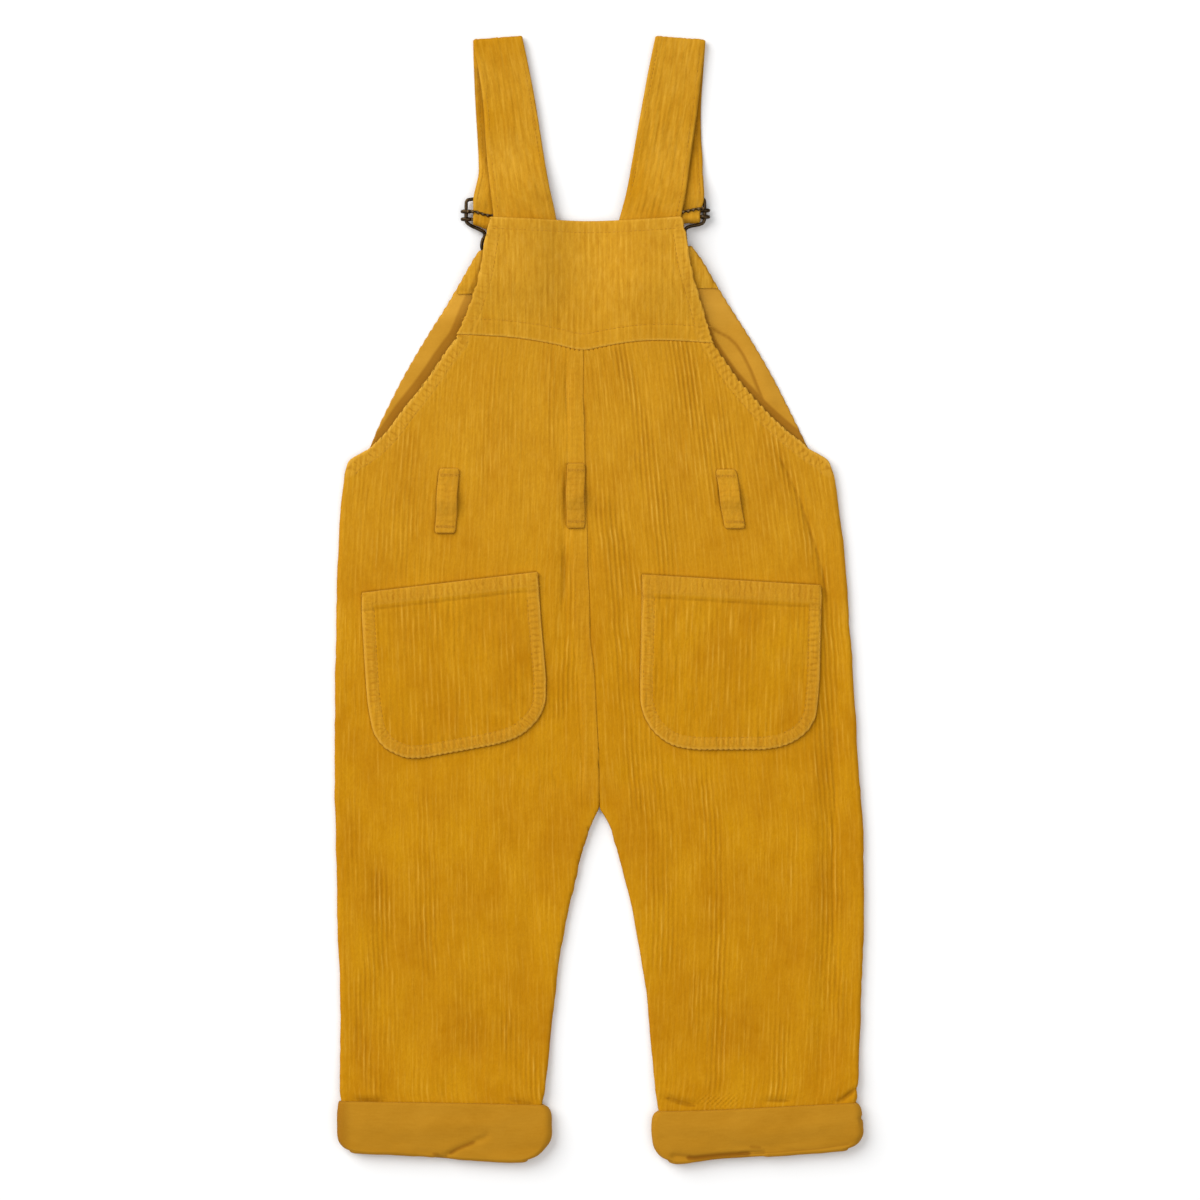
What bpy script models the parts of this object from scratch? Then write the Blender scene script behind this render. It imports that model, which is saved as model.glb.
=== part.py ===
"""Kids dungarees laid out face down: corduroy panels, straps, pockets, turned-up cuffs and wire clips.

Lengths are in millimetres until a mesh or curve is made. X runs across the garment, Y from the feet to the
shoulders, Z up from the surface, and the origin is under the middle of the garment's box. Every panel is
the middle surface of its cloth, as rows of points, and a Solidify gives it the cloth's wall.
"""

import math

import bpy
import numpy as np

MM = 0.001
WALL = 1.6  # corduroy, one layer
FACING_WALL = 1.2  # plain facing
PATCH_WALL = 1.4  # pockets and belt loops
STRAP_WALL = 1.8  # corduroy folded to a strap and pressed
SEAM = 0.3  # between pieces that are sewn together
GAP = 1.8  # air between the front and the back
ROLL = 1.2  # the side fold's depth over its height

WAIST_Y = 66.0  # front waist seam
CROTCH_Y = -124.0
SHOULDER_Y = 337.1  # middle of the straps' fold at the shoulder
SHOULDER_R = 1.5
CLIP_X = (-60.8, 44.1)
CLIP_Y = (240.5, 241.2)  # the wire's top bar
BAR_DOWN = (11.9, 11.2)  # from the top bar to the slide's lower bar
BUTTON_DOWN = 42.5
CLIP_HALF = 19.4
NECK_HALF = 8.9
WIRE_R = 0.95
WIRE_Z = 4.0
SLIDE_BAR_R = 1.0
BAR_Z = 6.45  # underside of the toothed bar
LOOP_R = 2.9  # the strap's turn round the slide's lower bar
BUTTON_R = 8.5
SHANK_R = 2.6
CLIP_SPREAD = 36.0  # how far the cloth over a clip is held up, across and down
CLIP_FADE = 30.0
FRONT_RISE = 5.6
BACK_RISE = 7.3
CUFF_LIFT = 2.4
CUFF_TURN = 1.2
CUFF_HEIGHT = 8.0

OUTER = [  # y, left, right: cuff, leg side, underarm, back armhole
    (-331.0, -151.3, 151.3),
    (-303.0, -154.2, 153.8),
    (-293.0, -156.0, 155.3),
    (-271.0, -155.5, 156.0),
    (-242.5, -155.7, 157.2),
    (-199.0, -157.0, 158.6),
    (-156.0, -158.2, 158.8),
    (-127.0, -158.7, 157.7),
    (-84.0, -158.8, 154.7),
    (-19.0, -158.3, 150.6),
    (24.0, -157.0, 147.5),
    (60.0, -154.6, 143.3),
    (72.0, -153.2, 141.2),
    (79.0, -151.8, 139.3),
    (84.0, -149.2, 136.3),
    (87.5, -143.5, 131.0),
    (91.0, -137.5, 125.0),
    (94.0, -134.5, 122.0),
    (101.5, -127.0, 112.5),
    (111.5, -119.5, 102.0),
    (127.0, -107.0, 88.5),
    (135.0, -101.0, 82.0),
    (148.0, -92.0, 73.5),
    (157.0, -85.0, 68.0),
]
INNER = [  # y, left leg, right leg: cuff to crotch
    (-331.0, -34.3, 38.7),
    (-303.0, -34.2, 34.8),
    (-293.0, -32.3, 33.6),
    (-264.0, -29.2, 31.0),
    (-228.0, -25.5, 27.0),
    (-199.0, -21.0, 22.2),
    (-170.5, -14.8, 16.2),
    (-156.0, -11.2, 12.4),
    (-141.5, -7.0, 8.0),
    (-130.0, -3.0, 3.8),
    (-124.0, 0.0, 0.0),
]
CENTRE = [  # y, x: the seam down the middle of the back
    (-124.0, 0.0),
    (-60.0, -2.0),
    (-24.0, -4.8),
    (36.0, -7.2),
    (75.5, -8.6),
    (157.0, -9.6),
]
YOKE_SEAM = [  # x, y: the shallow V
    (-88.0, 159.5),
    (-71.0, 159.0),
    (-49.5, 157.4),
    (-26.5, 153.6),
    (-15.0, 150.8),
    (-9.0, 150.2),
    (2.0, 152.2),
    (19.0, 155.0),
    (36.5, 156.0),
    (70.0, 154.2),
]
YOKE = [  # y, left, right
    (157.0, -85.0, 68.0),
    (165.5, -81.0, 65.0),
    (177.0, -76.7, 61.5),
    (187.0, -73.4, 58.3),
    (196.5, -71.0, 55.5),
    (206.5, -69.3, 53.4),
    (217.0, -67.6, 51.8),
    (229.0, -65.0, 49.2),
]
YOKE_TOP = [(-65.0, 229.2), (-36.0, 228.0), (-6.5, 227.0), (24.0, 227.8), (49.0, 229.4)]  # x, y
BIB = [  # y, left, right
    (91.0, -137.5, 125.0),
    (103.0, -132.6, 119.2),
    (117.5, -125.6, 112.0),
    (132.0, -118.2, 104.6),
    (146.5, -110.0, 96.4),
    (161.0, -101.2, 87.6),
    (175.0, -92.2, 78.6),
    (189.5, -83.5, 69.5),
    (204.0, -75.2, 61.0),
    (211.5, -70.5, 55.5),
]
BIB_TOP = [(-70.5, 209.5), (-8.0, 210.5), (55.5, 212.0)]  # x, y
POCKETS = [  # left x and y, right x and y of each row, from the opening down
    [
        (-142.5, 4.0, -37.0, 16.5),
        (-142.0, -12.5, -35.6, -8.0),
        (-141.0, -29.5, -33.8, -29.0),
        (-139.2, -56.5, -32.2, -49.5),
        (-137.5, -69.0, -32.8, -61.5),
        (-135.4, -78.5, -36.6, -70.5),
        (-132.0, -84.5, -43.0, -77.5),
        (-127.0, -89.5, -49.5, -82.0),
        (-118.5, -93.5, -56.0, -84.5),
        (-113.0, -94.6, -60.0, -85.7),
        (-106.0, -94.4, -65.0, -86.9),
    ],
    [
        (26.0, 15.0, 133.2, 8.5),
        (25.8, -4.0, 133.0, -6.0),
        (25.4, -20.0, 132.6, -20.0),
        (24.8, -54.5, 131.8, -49.5),
        (26.0, -65.5, 130.0, -67.5),
        (29.0, -73.0, 128.0, -73.0),
        (34.0, -79.8, 124.5, -78.5),
        (42.0, -85.8, 117.5, -84.0),
        (50.0, -88.4, 109.0, -87.6),
        (60.0, -89.6, 99.0, -89.3),
    ],
]
LOOPS = [  # name, top x, top y, bottom x, bottom y, width
    ("belt_loop_left", -90.0, 78.6, -92.6, 40.4, 11.6),
    ("belt_loop_centre", -14.0, 81.6, -14.2, 43.4, 10.2),
    ("belt_loop_right", 76.0, 78.0, 81.4, 43.2, 11.6),
]
STRAP_BACK = [  # y, left x, right x: from under the yoke to the shoulder
    [
        (221.5, -63.0, -25.0),
        (229.0, -63.0, -26.0),
        (243.5, -64.5, -29.5),
        (262.0, -66.6, -33.0),
        (279.5, -68.0, -35.8),
        (299.5, -69.3, -39.0),
        (318.0, -72.0, -42.5),
        (337.0, -75.3, -46.6),
    ],
    [
        (221.5, 10.6, 47.8),
        (229.0, 12.6, 48.4),
        (243.5, 16.5, 51.3),
        (262.0, 20.0, 53.8),
        (279.5, 23.0, 56.2),
        (299.5, 26.6, 59.0),
        (318.0, 30.0, 61.0),
        (337.0, 34.0, 63.2),
    ],
]
STRAP_FRONT = [  # y, left x, right x, height of its middle: from the shoulder down through the slide
    [
        (318.0, -74.8, -45.8, 0.9),
        (296.0, -73.8, -44.8, 0.9),
        (276.0, -72.6, -43.8, 0.9),
        (264.0, -72.0, -43.4, 1.5),
        (256.0, -72.0, -43.6, 3.0),
        (248.0, -73.6, -44.8, 5.2),
        (243.0, -74.8, -46.0, 6.1),
        (239.5, -75.2, -46.4, 6.2),
        (236.5, -75.2, -46.4, 5.5),
        (233.2, -75.2, -46.4, 4.9),
        (231.2, -75.2, -46.4, 5.35),
    ],
    [
        (318.0, 33.0, 62.0, 0.9),
        (296.0, 31.6, 60.6, 0.9),
        (276.0, 31.8, 60.8, 0.9),
        (264.0, 32.4, 61.6, 1.5),
        (256.0, 33.0, 62.2, 3.0),
        (248.5, 33.6, 62.6, 5.2),
        (243.6, 33.6, 62.6, 6.1),
        (240.2, 32.8, 61.6, 6.2),
        (237.3, 31.6, 60.4, 5.5),
        (234.4, 30.2, 59.0, 4.9),
        (232.3, 29.8, 58.6, 5.35),
    ],
]
TAIL = 25.0  # the strap's end beyond the slide's lower bar
TAIL_ASIDE = 0.3
TOP_SLACK = 0.2  # between a strap and the yoke that it comes out from
CUFF_SIDES = [  # how far down the cuff, then left x and right x of each cuff
    (0.0, -156.6, -31.4, 32.4, 156.2),
    (0.3, -157.2, -28.6, 31.3, 158.4),
    (0.7, -157.0, -29.0, 32.0, 158.4),
    (0.9, -155.6, -30.2, 34.0, 156.4),
    (1.0, -153.6, -31.8, 36.4, 153.6),
]
CUFF_TOP = [(-157.0, -301.0), (-32.0, -303.5), (32.0, -307.0), (157.0, -302.0)]  # x, y
CUFF_FOLD = [  # x, y: the lowest edge
    (-157.0, -330.0),
    (-150.0, -331.5),
    (-119.5, -333.2),
    (-77.5, -336.4),
    (-52.0, -337.4),
    (-39.0, -336.2),
    (-28.0, -333.0),
    (31.0, -334.5),
    (40.0, -337.2),
    (47.0, -338.6),
    (72.5, -335.8),
    (113.0, -333.4),
    (145.0, -331.0),
    (158.0, -329.5),
]
FOLDS = [  # height, width, then the points that the crease runs through
    (-0.8, 7.0, [(112.0, 72.0), (121.0, 58.0), (136.0, 24.0), (140.5, -40.0), (135.0, -290.0)]),
    (0.6, 8.0, [(126.0, -110.0), (128.0, -180.0), (126.0, -260.0)]),
    (-0.6, 6.0, [(-133.0, -160.0), (-128.0, -205.0), (-132.0, -250.0)]),
    (0.6, 12.0, [(-100.0, -120.0), (-84.0, -200.0), (-92.0, -280.0)]),
    (0.5, 10.0, [(72.0, -120.0), (84.0, -210.0), (80.0, -280.0)]),
    (-0.5, 6.0, [(-62.0, -118.0), (-40.0, -160.0), (-44.0, -230.0)]),
    (0.5, 9.0, [(-60.0, 130.0), (-52.0, 90.0), (-56.0, 30.0)]),
    (0.5, 9.0, [(40.0, 128.0), (34.0, 92.0), (40.0, 40.0)]),
    (-0.5, 8.0, [(-30.0, -96.0), (-12.0, -112.0), (-4.0, -120.0)]),
    (-0.5, 8.0, [(24.0, -98.0), (10.0, -112.0), (4.0, -120.0)]),
]
BACK_ROWS = (
    -315, -303, -296, -286, -266, -240, -212, -186, -162, -142, -130, -118, -100, -80, -54, -26, 0, 24,
    42, 60, 72, 79, 84, 87.5, 91, 97, 104, 114, 127, 141, 157,
)
FRONT_ROWS = (
    -315, -303, -296, -286, -266, -240, -212, -186, -162, -142, -130, -118, -80, -26, 24, 60, WAIST_Y,
)
BIB_ROWS = (WAIST_Y, 72, 79, 84, 91, 103, 117.5, 132, 146.5, 161, 175, 186.5, 194, 202, 211)
FACING_FROM = BIB_ROWS.index(186.5)
ACROSS = (0.05, 0.1, 0.17, 0.27, 0.42, 0.6, 0.8)
FRONT_ACROSS = (0.1, 0.35, 0.65, 0.9)
BIB_ACROSS = (0.1, 0.22, 0.36, 0.5, 0.64, 0.78, 0.9)
TURN = (0, 30, 60, 90)  # degrees round a side fold

for old in list(bpy.data.objects):
    bpy.data.objects.remove(old)
dungarees = bpy.data.collections.new("kids_dungarees")
cutters = bpy.data.collections.new("cutters")
cutters.hide_render = True
bpy.context.scene.collection.children.link(dungarees)
bpy.context.scene.collection.children.link(cutters)


# ---- small helpers


def smooth(table, at, column=1):
    """A table's column at a place along its first column, as a curve through its rows."""
    t = np.array([row[0] for row in table], float)
    v = np.array([row[column] for row in table], float)
    slope = np.diff(v) / np.diff(t)
    tangent = np.concatenate([slope[:1], (slope[:-1] + slope[1:]) / 2, slope[-1:]])
    flat = np.concatenate([[False], slope[:-1] * slope[1:] <= 0, [False]])
    tangent[flat] = 0
    at = min(max(at, t[0]), t[-1])
    i = min(int(np.searchsorted(t, at, "right")) - 1, len(t) - 2)
    h = t[i + 1] - t[i]
    s = (at - t[i]) / h
    return float(
        v[i] * (1 + 2 * s) * (1 - s) ** 2
        + v[i + 1] * s * s * (3 - 2 * s)
        + h * s * (1 - s) * (tangent[i] * (1 - s) - tangent[i + 1] * s)
    )


def ease(a, b, at):
    """0 at a, 1 at b, and level at both."""
    s = min(max((at - a) / (b - a), 0.0), 1.0)
    return s * s * (3 - 2 * s)


def away(points, x, y):
    """How far a place is from a line through points."""
    best = math.inf
    for (ax, ay), (bx, by) in zip(points, points[1:]):
        dx, dy = bx - ax, by - ay
        s = min(max(((x - ax) * dx + (y - ay) * dy) / (dx * dx + dy * dy), 0.0), 1.0)
        best = min(best, math.hypot(x - ax - s * dx, y - ay - s * dy))
    return best


def material(name, colour, rough, metal):
    made = bpy.data.materials.get(name) or bpy.data.materials.new(name)
    made.use_nodes = True
    shader = made.node_tree.nodes["Principled BSDF"]
    shader.inputs["Base Color"].default_value = (*colour, 1)
    shader.inputs["Roughness"].default_value = rough
    shader.inputs["Metallic"].default_value = metal
    return made


CORDUROY = ("corduroy", (0.61, 0.29, 0.02), 0.9, 0.0)
INSIDE = ("corduroy_inside", (0.50, 0.24, 0.03), 0.9, 0.0)
BRASS = ("antique_brass", (0.12, 0.08, 0.045), 0.4, 1.0)


def link(name, data, looks, where=None):
    thing = bpy.data.objects.new(name, data)
    (where or dungarees).objects.link(thing)
    data.materials.append(material(*looks))
    return thing


def mesh_of(points, faces):
    mesh = bpy.data.meshes.new("mesh")
    mesh.from_pydata([tuple(c * MM for c in p) for p in points], [], faces)
    mesh.update()
    return mesh


def cloth(name, rows, wall, looks, ring=False):
    """A sheet through rows of equally many points, with the cloth's wall put on by Solidify."""
    wide = len(rows[0])
    span = wide if ring else wide - 1
    faces = [
        (i * wide + j, i * wide + (j + 1) % wide, (i + 1) * wide + (j + 1) % wide, (i + 1) * wide + j)
        for i in range(len(rows) - 1)
        for j in range(span)
    ]
    thing = link(name, mesh_of([p for row in rows for p in row], faces), looks)
    wall_of = thing.modifiers.new("wall", "SOLIDIFY")
    wall_of.thickness = wall * MM
    wall_of.offset = 0
    wall_of.use_even_offset = True
    return thing


# ---- how high the layers lie


def over_clips(x, y):
    """1 over a clip and its button, 0 away from them."""
    total = 0.0
    for clip_x, clip_y in zip(CLIP_X, CLIP_Y):
        across = math.exp(-(((x - clip_x) / CLIP_SPREAD) ** 4))
        below = max(0.0, clip_y - BUTTON_DOWN - y)
        total += across * math.exp(-((below / CLIP_FADE) ** 2))
    return min(total, 1.0)


def front_z(x, y):
    return WALL / 2 + FRONT_RISE * over_clips(x, y) + CUFF_LIFT * ease(-262, -298, y)


def back_z(x, y):
    creased = sum(tall * math.exp(-((away(points, x, y) / wide) ** 2)) for tall, wide, points in FOLDS)
    level = 1 - ease(-280, -298, y)
    lift = (3 * CUFF_LIFT / 2 - GAP - WALL / 2 + 0.6) * ease(-262, -298, y)
    return 1.5 * WALL + GAP + BACK_RISE * over_clips(x, y) + creased * level + lift


# ---- panels


def crossing(outer, inner, y, layer, rolled_inside, across):
    """One row of a leg panel: x and z of each point from the outer edge to the inner one."""
    height = back_z if layer == "back" else front_z
    toward = 1 if inner > outer else -1
    row = []
    side = 1 - ease(72, 84, y)
    edges = [(outer, toward, side, ease(56, 70, y))]
    if rolled_inside is not None:
        edges.append((inner, -toward, rolled_inside, ease(-186, -148, y)))
    made = []
    # share is 1 where the cloth folds down to a seam, and 0 at a free edge
    for edge, way, share, ending in edges:
        level = height(edge + 3 * way, y)
        other = front_z(edge + 3 * way, y) if layer == "back" else back_z(edge + 3 * way, y)
        seam = SEAM / 2 + 0.4 * ending
        meet = (level + other) / 2 + (seam if layer == "back" else -seam)
        tall = abs(level - meet)
        deep = ROLL * tall
        part = []
        for step, turn in enumerate(TURN):
            angle = math.radians(turn)
            bent = math.cos(math.radians(TURN[1])) - math.cos(math.radians(max(turn, TURN[1])))
            x = edge + way * (share * (WALL / 2 + deep * bent + 0.002 * turn) + (1 - share) * 0.9 * step)
            z = meet + (level - meet) * math.sin(angle)
            part.append((x, share**3 * z + (1 - share**3) * height(x, y)))
        made.append(part)
    row += made[0]
    start = made[0][-1][0]
    end = made[1][-1][0] if len(made) > 1 else inner
    row += [(start + (end - start) * s, None) for s in across]
    row += list(reversed(made[1])) if len(made) > 1 else [(inner, None)]
    return [(x, height(x, y) if z is None else z) for x, z in row]


def leg_panel(name, side, layer):
    """A front or back half with its leg, from inside the cuff to the waist or the yoke."""
    column = 1 if side < 0 else 2
    rows = []
    for level in (BACK_ROWS if layer == "back" else FRONT_ROWS):
        outer = smooth(OUTER, level, column)
        if level < CROTCH_Y:
            inner = smooth(INNER, level, column)
            rolled = ease(CROTCH_Y - 3, -142, level)
        else:
            inner = smooth(CENTRE, level) + side * (SEAM / 2 + 0.35 * ease(-85, -118, level))
            rolled = 0.0
        line = crossing(outer, inner, level, layer, rolled, ACROSS if layer == "back" else FRONT_ACROSS)
        row = []
        for x, z in line:
            y = level
            if layer == "back" and level > 104:
                y += (smooth(YOKE_SEAM, x) - SEAM - 0.1 - 157) * (level - 104) / (157 - 104)
            elif layer == "front" and level == WAIST_Y:
                y -= SEAM / 2
            row.append((x, y, z))
        rows.append(row)
    ends = []
    for x, y, z in rows[0]:
        low = smooth(CUFF_FOLD, x) + WALL / 2 + CUFF_TURN + 5 + 3 * SEAM
        ends.append((x, low, z))
    return cloth(name, [ends] + rows, WALL, CORDUROY)


leg_panel("back_left", -1, "back")
leg_panel("back_right", 1, "back")
leg_panel("front_left", -1, "front")
leg_panel("front_right", 1, "front")

yoke_rows = []
for step in range(10):
    share = step / 9
    level = 157 + (229 - 157) * share
    left = smooth(YOKE, level, 1)
    right = smooth(YOKE, level, 2)
    row = []
    for across in np.linspace(0, 1, 17):
        x = left + (right - left) * float(across)
        y = level + (smooth(YOKE_SEAM, x) + SEAM / 2 - 157) * (1 - share)
        y += (smooth(YOKE_TOP, x) - 229) * share
        row.append((x, y, back_z(x, y)))
    yoke_rows.append(row)
cloth("back_yoke", yoke_rows, WALL, CORDUROY)


def bib_edges(y):
    table = OUTER if y < 91 else BIB
    return smooth(table, y, 1), smooth(table, y, 2)


bib_rows = []
for level in BIB_ROWS:
    left, right = bib_edges(level)
    middle = (left + right) / 2
    half = crossing(left, middle, level, "front", None, BIB_ACROSS)
    other = crossing(right, middle, level, "front", None, BIB_ACROSS)
    row = []
    for x, z in half[:-1] + [(middle, front_z(middle, level))] + list(reversed(other[:-1])):
        y = level
        if level == WAIST_Y:
            y += SEAM / 2
        if level == 211:
            y = smooth(BIB_TOP, x)
        row.append((x, y, z))
    bib_rows.append(row)
cloth("front_bib", bib_rows, WALL, CORDUROY)

facing_rows = []
for bib_row in bib_rows[FACING_FROM:]:
    row = []
    left, right = bib_row[0][0], bib_row[-1][0]
    for x, y, z in bib_row:
        x += 0.6 - 1.2 * (x - left) / (right - left)
        y -= 0.4 if bib_row is bib_rows[-1] else 0
        row.append((x, y, z + (WALL + FACING_WALL) / 2 + SEAM + 0.1))
    facing_rows.append(row)
cloth("front_bib_facing", facing_rows, FACING_WALL, CORDUROY)

# ---- patch pockets and belt loops, made from the back's points moved out
ON_BACK = WALL / 2 + SEAM + PATCH_WALL / 2 + 0.05
for name, table in zip(("pocket_left", "pocket_right"), POCKETS):
    rows = []
    for left_x, left_y, right_x, right_y in table:
        row = []
        for across in np.linspace(0, 1, 13):
            share = float(across)
            x = left_x + (right_x - left_x) * share
            y = left_y + (right_y - left_y) * share
            row.append((x, y, back_z(x, y) + ON_BACK))
        rows.append(row)
    cloth(name, list(reversed(rows)), PATCH_WALL, CORDUROY)

for name, top_x, top_y, low_x, low_y, width in LOOPS:
    rows = []
    for step in range(11):
        share = step / 10
        y = low_y + (top_y - low_y) * share
        middle = low_x + (top_x - low_x) * share
        bow = 2.1 * math.sin(math.pi * ease(0.08, 0.92, share)) ** 2
        row = []
        for across in (-0.5, 0.0, 0.5):
            x = middle + width * across
            row.append((x, y, back_z(x, y) + ON_BACK + bow))
        rows.append(row)
    cloth(name, rows, PATCH_WALL, CORDUROY)


# ---- straps


def strap_row(left, right, y, z):
    return [(left + (right - left) * across, y, z) for across in (0, 0.25, 0.5, 0.75, 1)]


def strap(name, side):
    """One strap: from under the yoke, over at the shoulder, down through the slide and back under itself."""
    back, front = STRAP_BACK[side], STRAP_FRONT[side]
    flat_z = STRAP_WALL / 2
    top_z = flat_z + 2 * SHOULDER_R
    under = WALL / 2 + SEAM + STRAP_WALL / 2 + TOP_SLACK
    path = []
    for y in (221.5, 226, 232, 238, 244, 251, 259, 268, 279, 292, 307, 322, SHOULDER_Y - 2.4):
        row = []
        for x, _, _ in strap_row(smooth(back, y, 1), smooth(back, y, 2), y, 0.0):
            held = back_z(x, min(y, 226)) - under
            row.append((x, y, held + (top_z - held) * ease(238, 290, y)))
        path.append(row)
    left, right = back[-1][1:]
    for turn in np.radians((-60, -30, 0, 30, 60)):
        y = SHOULDER_Y - 1.0 + SHOULDER_R * math.cos(turn)
        path.append(strap_row(left, right, y, flat_z + SHOULDER_R * (1 - math.sin(turn))))
    for y, left, right, z in front:
        path.append(strap_row(left, right, y, z))
    bar_y = CLIP_Y[side] - BAR_DOWN[side]
    for turn in np.radians((75, 45, 15, -15, -45, -75)):
        path.append(strap_row(left, right, bar_y - LOOP_R * math.cos(turn), WIRE_Z + LOOP_R * math.sin(turn)))
    upward = front[::-1]
    for along in (2.5, 12, 19, TAIL):
        y = bar_y + along
        left, right = smooth(upward, y, 1) + TAIL_ASIDE, smooth(upward, y, 2) + TAIL_ASIDE
        path.append(strap_row(left, right, y, flat_z))
    return cloth(name, path, STRAP_WALL, CORDUROY)


strap("strap_left", 0)
strap("strap_right", 1)


# ---- turned-up cuffs


def cuff(name, side):
    """The turned-up end of a leg: a flattened ring whose wall runs down, turns under and comes up inside."""
    columns = (1, 2) if side < 0 else (3, 4)
    rows = []
    stations = [(s, 0.0, 0.0) for s in (0.0, 0.25, 0.5, 0.75, 1.0)]
    for turn in (36, 72, 108, 144, 180):
        angle = math.radians(turn)
        stations.append((1.0, CUFF_TURN * (1 - math.cos(angle)), -CUFF_TURN * math.sin(angle)))
    stations.append((1.0, 2 * CUFF_TURN, 5.0))
    for down, inset, shift in stations:
        left = smooth(CUFF_SIDES, down, columns[0]) + WALL / 2 + inset
        right = smooth(CUFF_SIDES, down, columns[1]) - WALL / 2 - inset
        puff = 0.7 * math.sin(math.pi * min(down, 0.8) / 0.9)
        low, high = WALL / 2 + inset, CUFF_HEIGHT + (puff if inset == 0 else 0) - inset
        middle, tall = (low + high) / 2, (high - low) / 2
        ring = []
        for k in range(12):
            ring.append((left + tall + (right - left - 2 * tall) * k / 11, high))
        for turn in (60, 30, 0, -30, -60):
            angle = math.radians(turn)
            ring.append((right - tall + tall * math.cos(angle), middle + tall * math.sin(angle)))
        for k in range(12):
            ring.append((right - tall - (right - left - 2 * tall) * k / 11, low))
        for turn in (-60, -30, 0, 30, 60):
            angle = math.radians(turn)
            ring.append((left + tall - tall * math.cos(angle), middle + tall * math.sin(angle)))
        row = []
        for x, z in ring:
            top, fold = smooth(CUFF_TOP, x), smooth(CUFF_FOLD, x) + WALL / 2 + CUFF_TURN
            row.append((x, top + (fold - top) * down + shift, z))
        rows.append(row)
    return cloth(name, rows, WALL, INSIDE, ring=True)


cuff("cuff_left", -1)
cuff("cuff_right", 1)


# ---- clips


def prism(name, loop, along, looks=BRASS, where=None):
    """A closed loop of points pushed along a vector."""
    count = len(loop)
    points = [tuple(p) for p in loop] + [tuple(a + b for a, b in zip(p, along)) for p in loop]
    faces = [tuple(reversed(range(count))), tuple(range(count, 2 * count))]
    faces += [(i, (i + 1) % count, count + (i + 1) % count, count + i) for i in range(count)]
    mesh = mesh_of(points, faces)
    thing = link(name, mesh, looks, where)
    area = 0.0
    mesh.calc_loop_triangles()
    for tri in mesh.loop_triangles:
        a, b, c = (np.array(mesh.vertices[i].co) for i in tri.vertices)
        area += float(np.dot(a, np.cross(b, c)))
    if area < 0:
        mesh.flip_normals()
    return thing


def oval(x, y, z, half_x, half_z, count=16):
    """A loop round a line that runs along Y."""
    return [
        (x + half_x * math.cos(2 * math.pi * k / count), y, z + half_z * math.sin(2 * math.pi * k / count))
        for k in range(count)
    ]


def combine(base, others, operation):
    for other in others:
        act = base.modifiers.new(other.name, "BOOLEAN")
        act.operation = operation
        act.solver = "EXACT"
        act.object = other


def slide(name, side):
    """The toothed slide: two bars that end in collars, and a sleeve on each leg of the wire."""
    x, y = CLIP_X[side], CLIP_Y[side]
    low_y, top_y = y - BAR_DOWN[side], y - 7.3
    pieces = []
    for leg in (-1, 1):
        leg_x = x + leg * CLIP_HALF
        for place in (low_y, top_y):
            ring = oval(leg_x, place - 1.3, WIRE_Z, 3.7, 2.9)
            pieces.append(prism("collar", ring, (0, 2.6, 0), where=cutters))
        sleeve = oval(leg_x, low_y - 0.9, WIRE_Z, 2.3, 2.3)
        pieces.append(prism("sleeve", sleeve, (0, top_y - low_y + 1.8, 0), where=cutters))
    bar = [
        (x - CLIP_HALF, low_y + SLIDE_BAR_R * math.cos(t), WIRE_Z + SLIDE_BAR_R * math.sin(t))
        for t in np.linspace(0, 2 * math.pi, 12, endpoint=False)
    ]
    pieces.append(prism("lower_bar", bar, (2 * CLIP_HALF, 0, 0), where=cutters))
    teeth = 12
    inside = CLIP_HALF - 0.6
    comb = [(x - inside, top_y + 0.7, BAR_Z), (x + inside, top_y + 0.7, BAR_Z)]
    for k in range(2 * teeth + 1):
        tooth = -1.4 if k % 2 else -0.5
        comb.append((x + inside - 2 * inside * k / (2 * teeth), top_y + tooth, BAR_Z))
    base = prism(name, comb, (0, 0, 1.1))
    combine(base, pieces, "UNION")
    holes = [
        prism("leg_hole", oval(x + leg * CLIP_HALF, low_y - 8, WIRE_Z, 1.3, 1.3), (0, 24, 0), where=cutters)
        for leg in (-1, 1)
    ]
    combine(base, holes, "DIFFERENCE")
    for helper in pieces + holes:
        helper.hide_render = True
        helper.display_type = "WIRE"
    return base


def wire(name, side):
    """The hook: one bent wire, wide round the strap and narrow at its foot, where it holds the button."""
    x, y = CLIP_X[side], CLIP_Y[side]
    button_y = y - BUTTON_DOWN
    half = [
        (CLIP_HALF - 3.0, y),
        (CLIP_HALF - 1.1, y - 0.6),
        (CLIP_HALF - 0.2, y - 2.0),
        (CLIP_HALF, y - 4.0),
        (CLIP_HALF, y - 13.4),
        (CLIP_HALF - 0.5, y - 14.6),
        (CLIP_HALF - 2.0, y - 15.7),
        (NECK_HALF + 1.6, y - 18.6),
        (NECK_HALF + 0.2, y - 20.0),
        (NECK_HALF - 0.2, y - 21.6),
        (NECK_HALF, y - 30.0),
        (NECK_HALF - 0.6, y - 33.0),
        (5.4, y - 38.4),
        (4.4, y - 41.0),
    ]
    half += [
        (4.4 * math.cos(math.radians(t)), button_y - 0.4 - 4.4 * math.sin(math.radians(t)))
        for t in (10, 30, 50, 70, 90)
    ]
    line = [(x + a, b) for a, b in half] + [(x - a, b) for a, b in reversed(half[:-1])]
    data = bpy.data.curves.new(name, "CURVE")
    data.dimensions = "3D"
    data.bevel_depth = WIRE_R * MM
    data.bevel_resolution = 2
    spline = data.splines.new("POLY")
    spline.points.add(len(line) - 1)
    for point, (a, b) in zip(spline.points, line):
        point.co = (a * MM, b * MM, WIRE_Z * MM, 1)
    spline.use_cyclic_u = True
    return link(name, data, BRASS)


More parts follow.
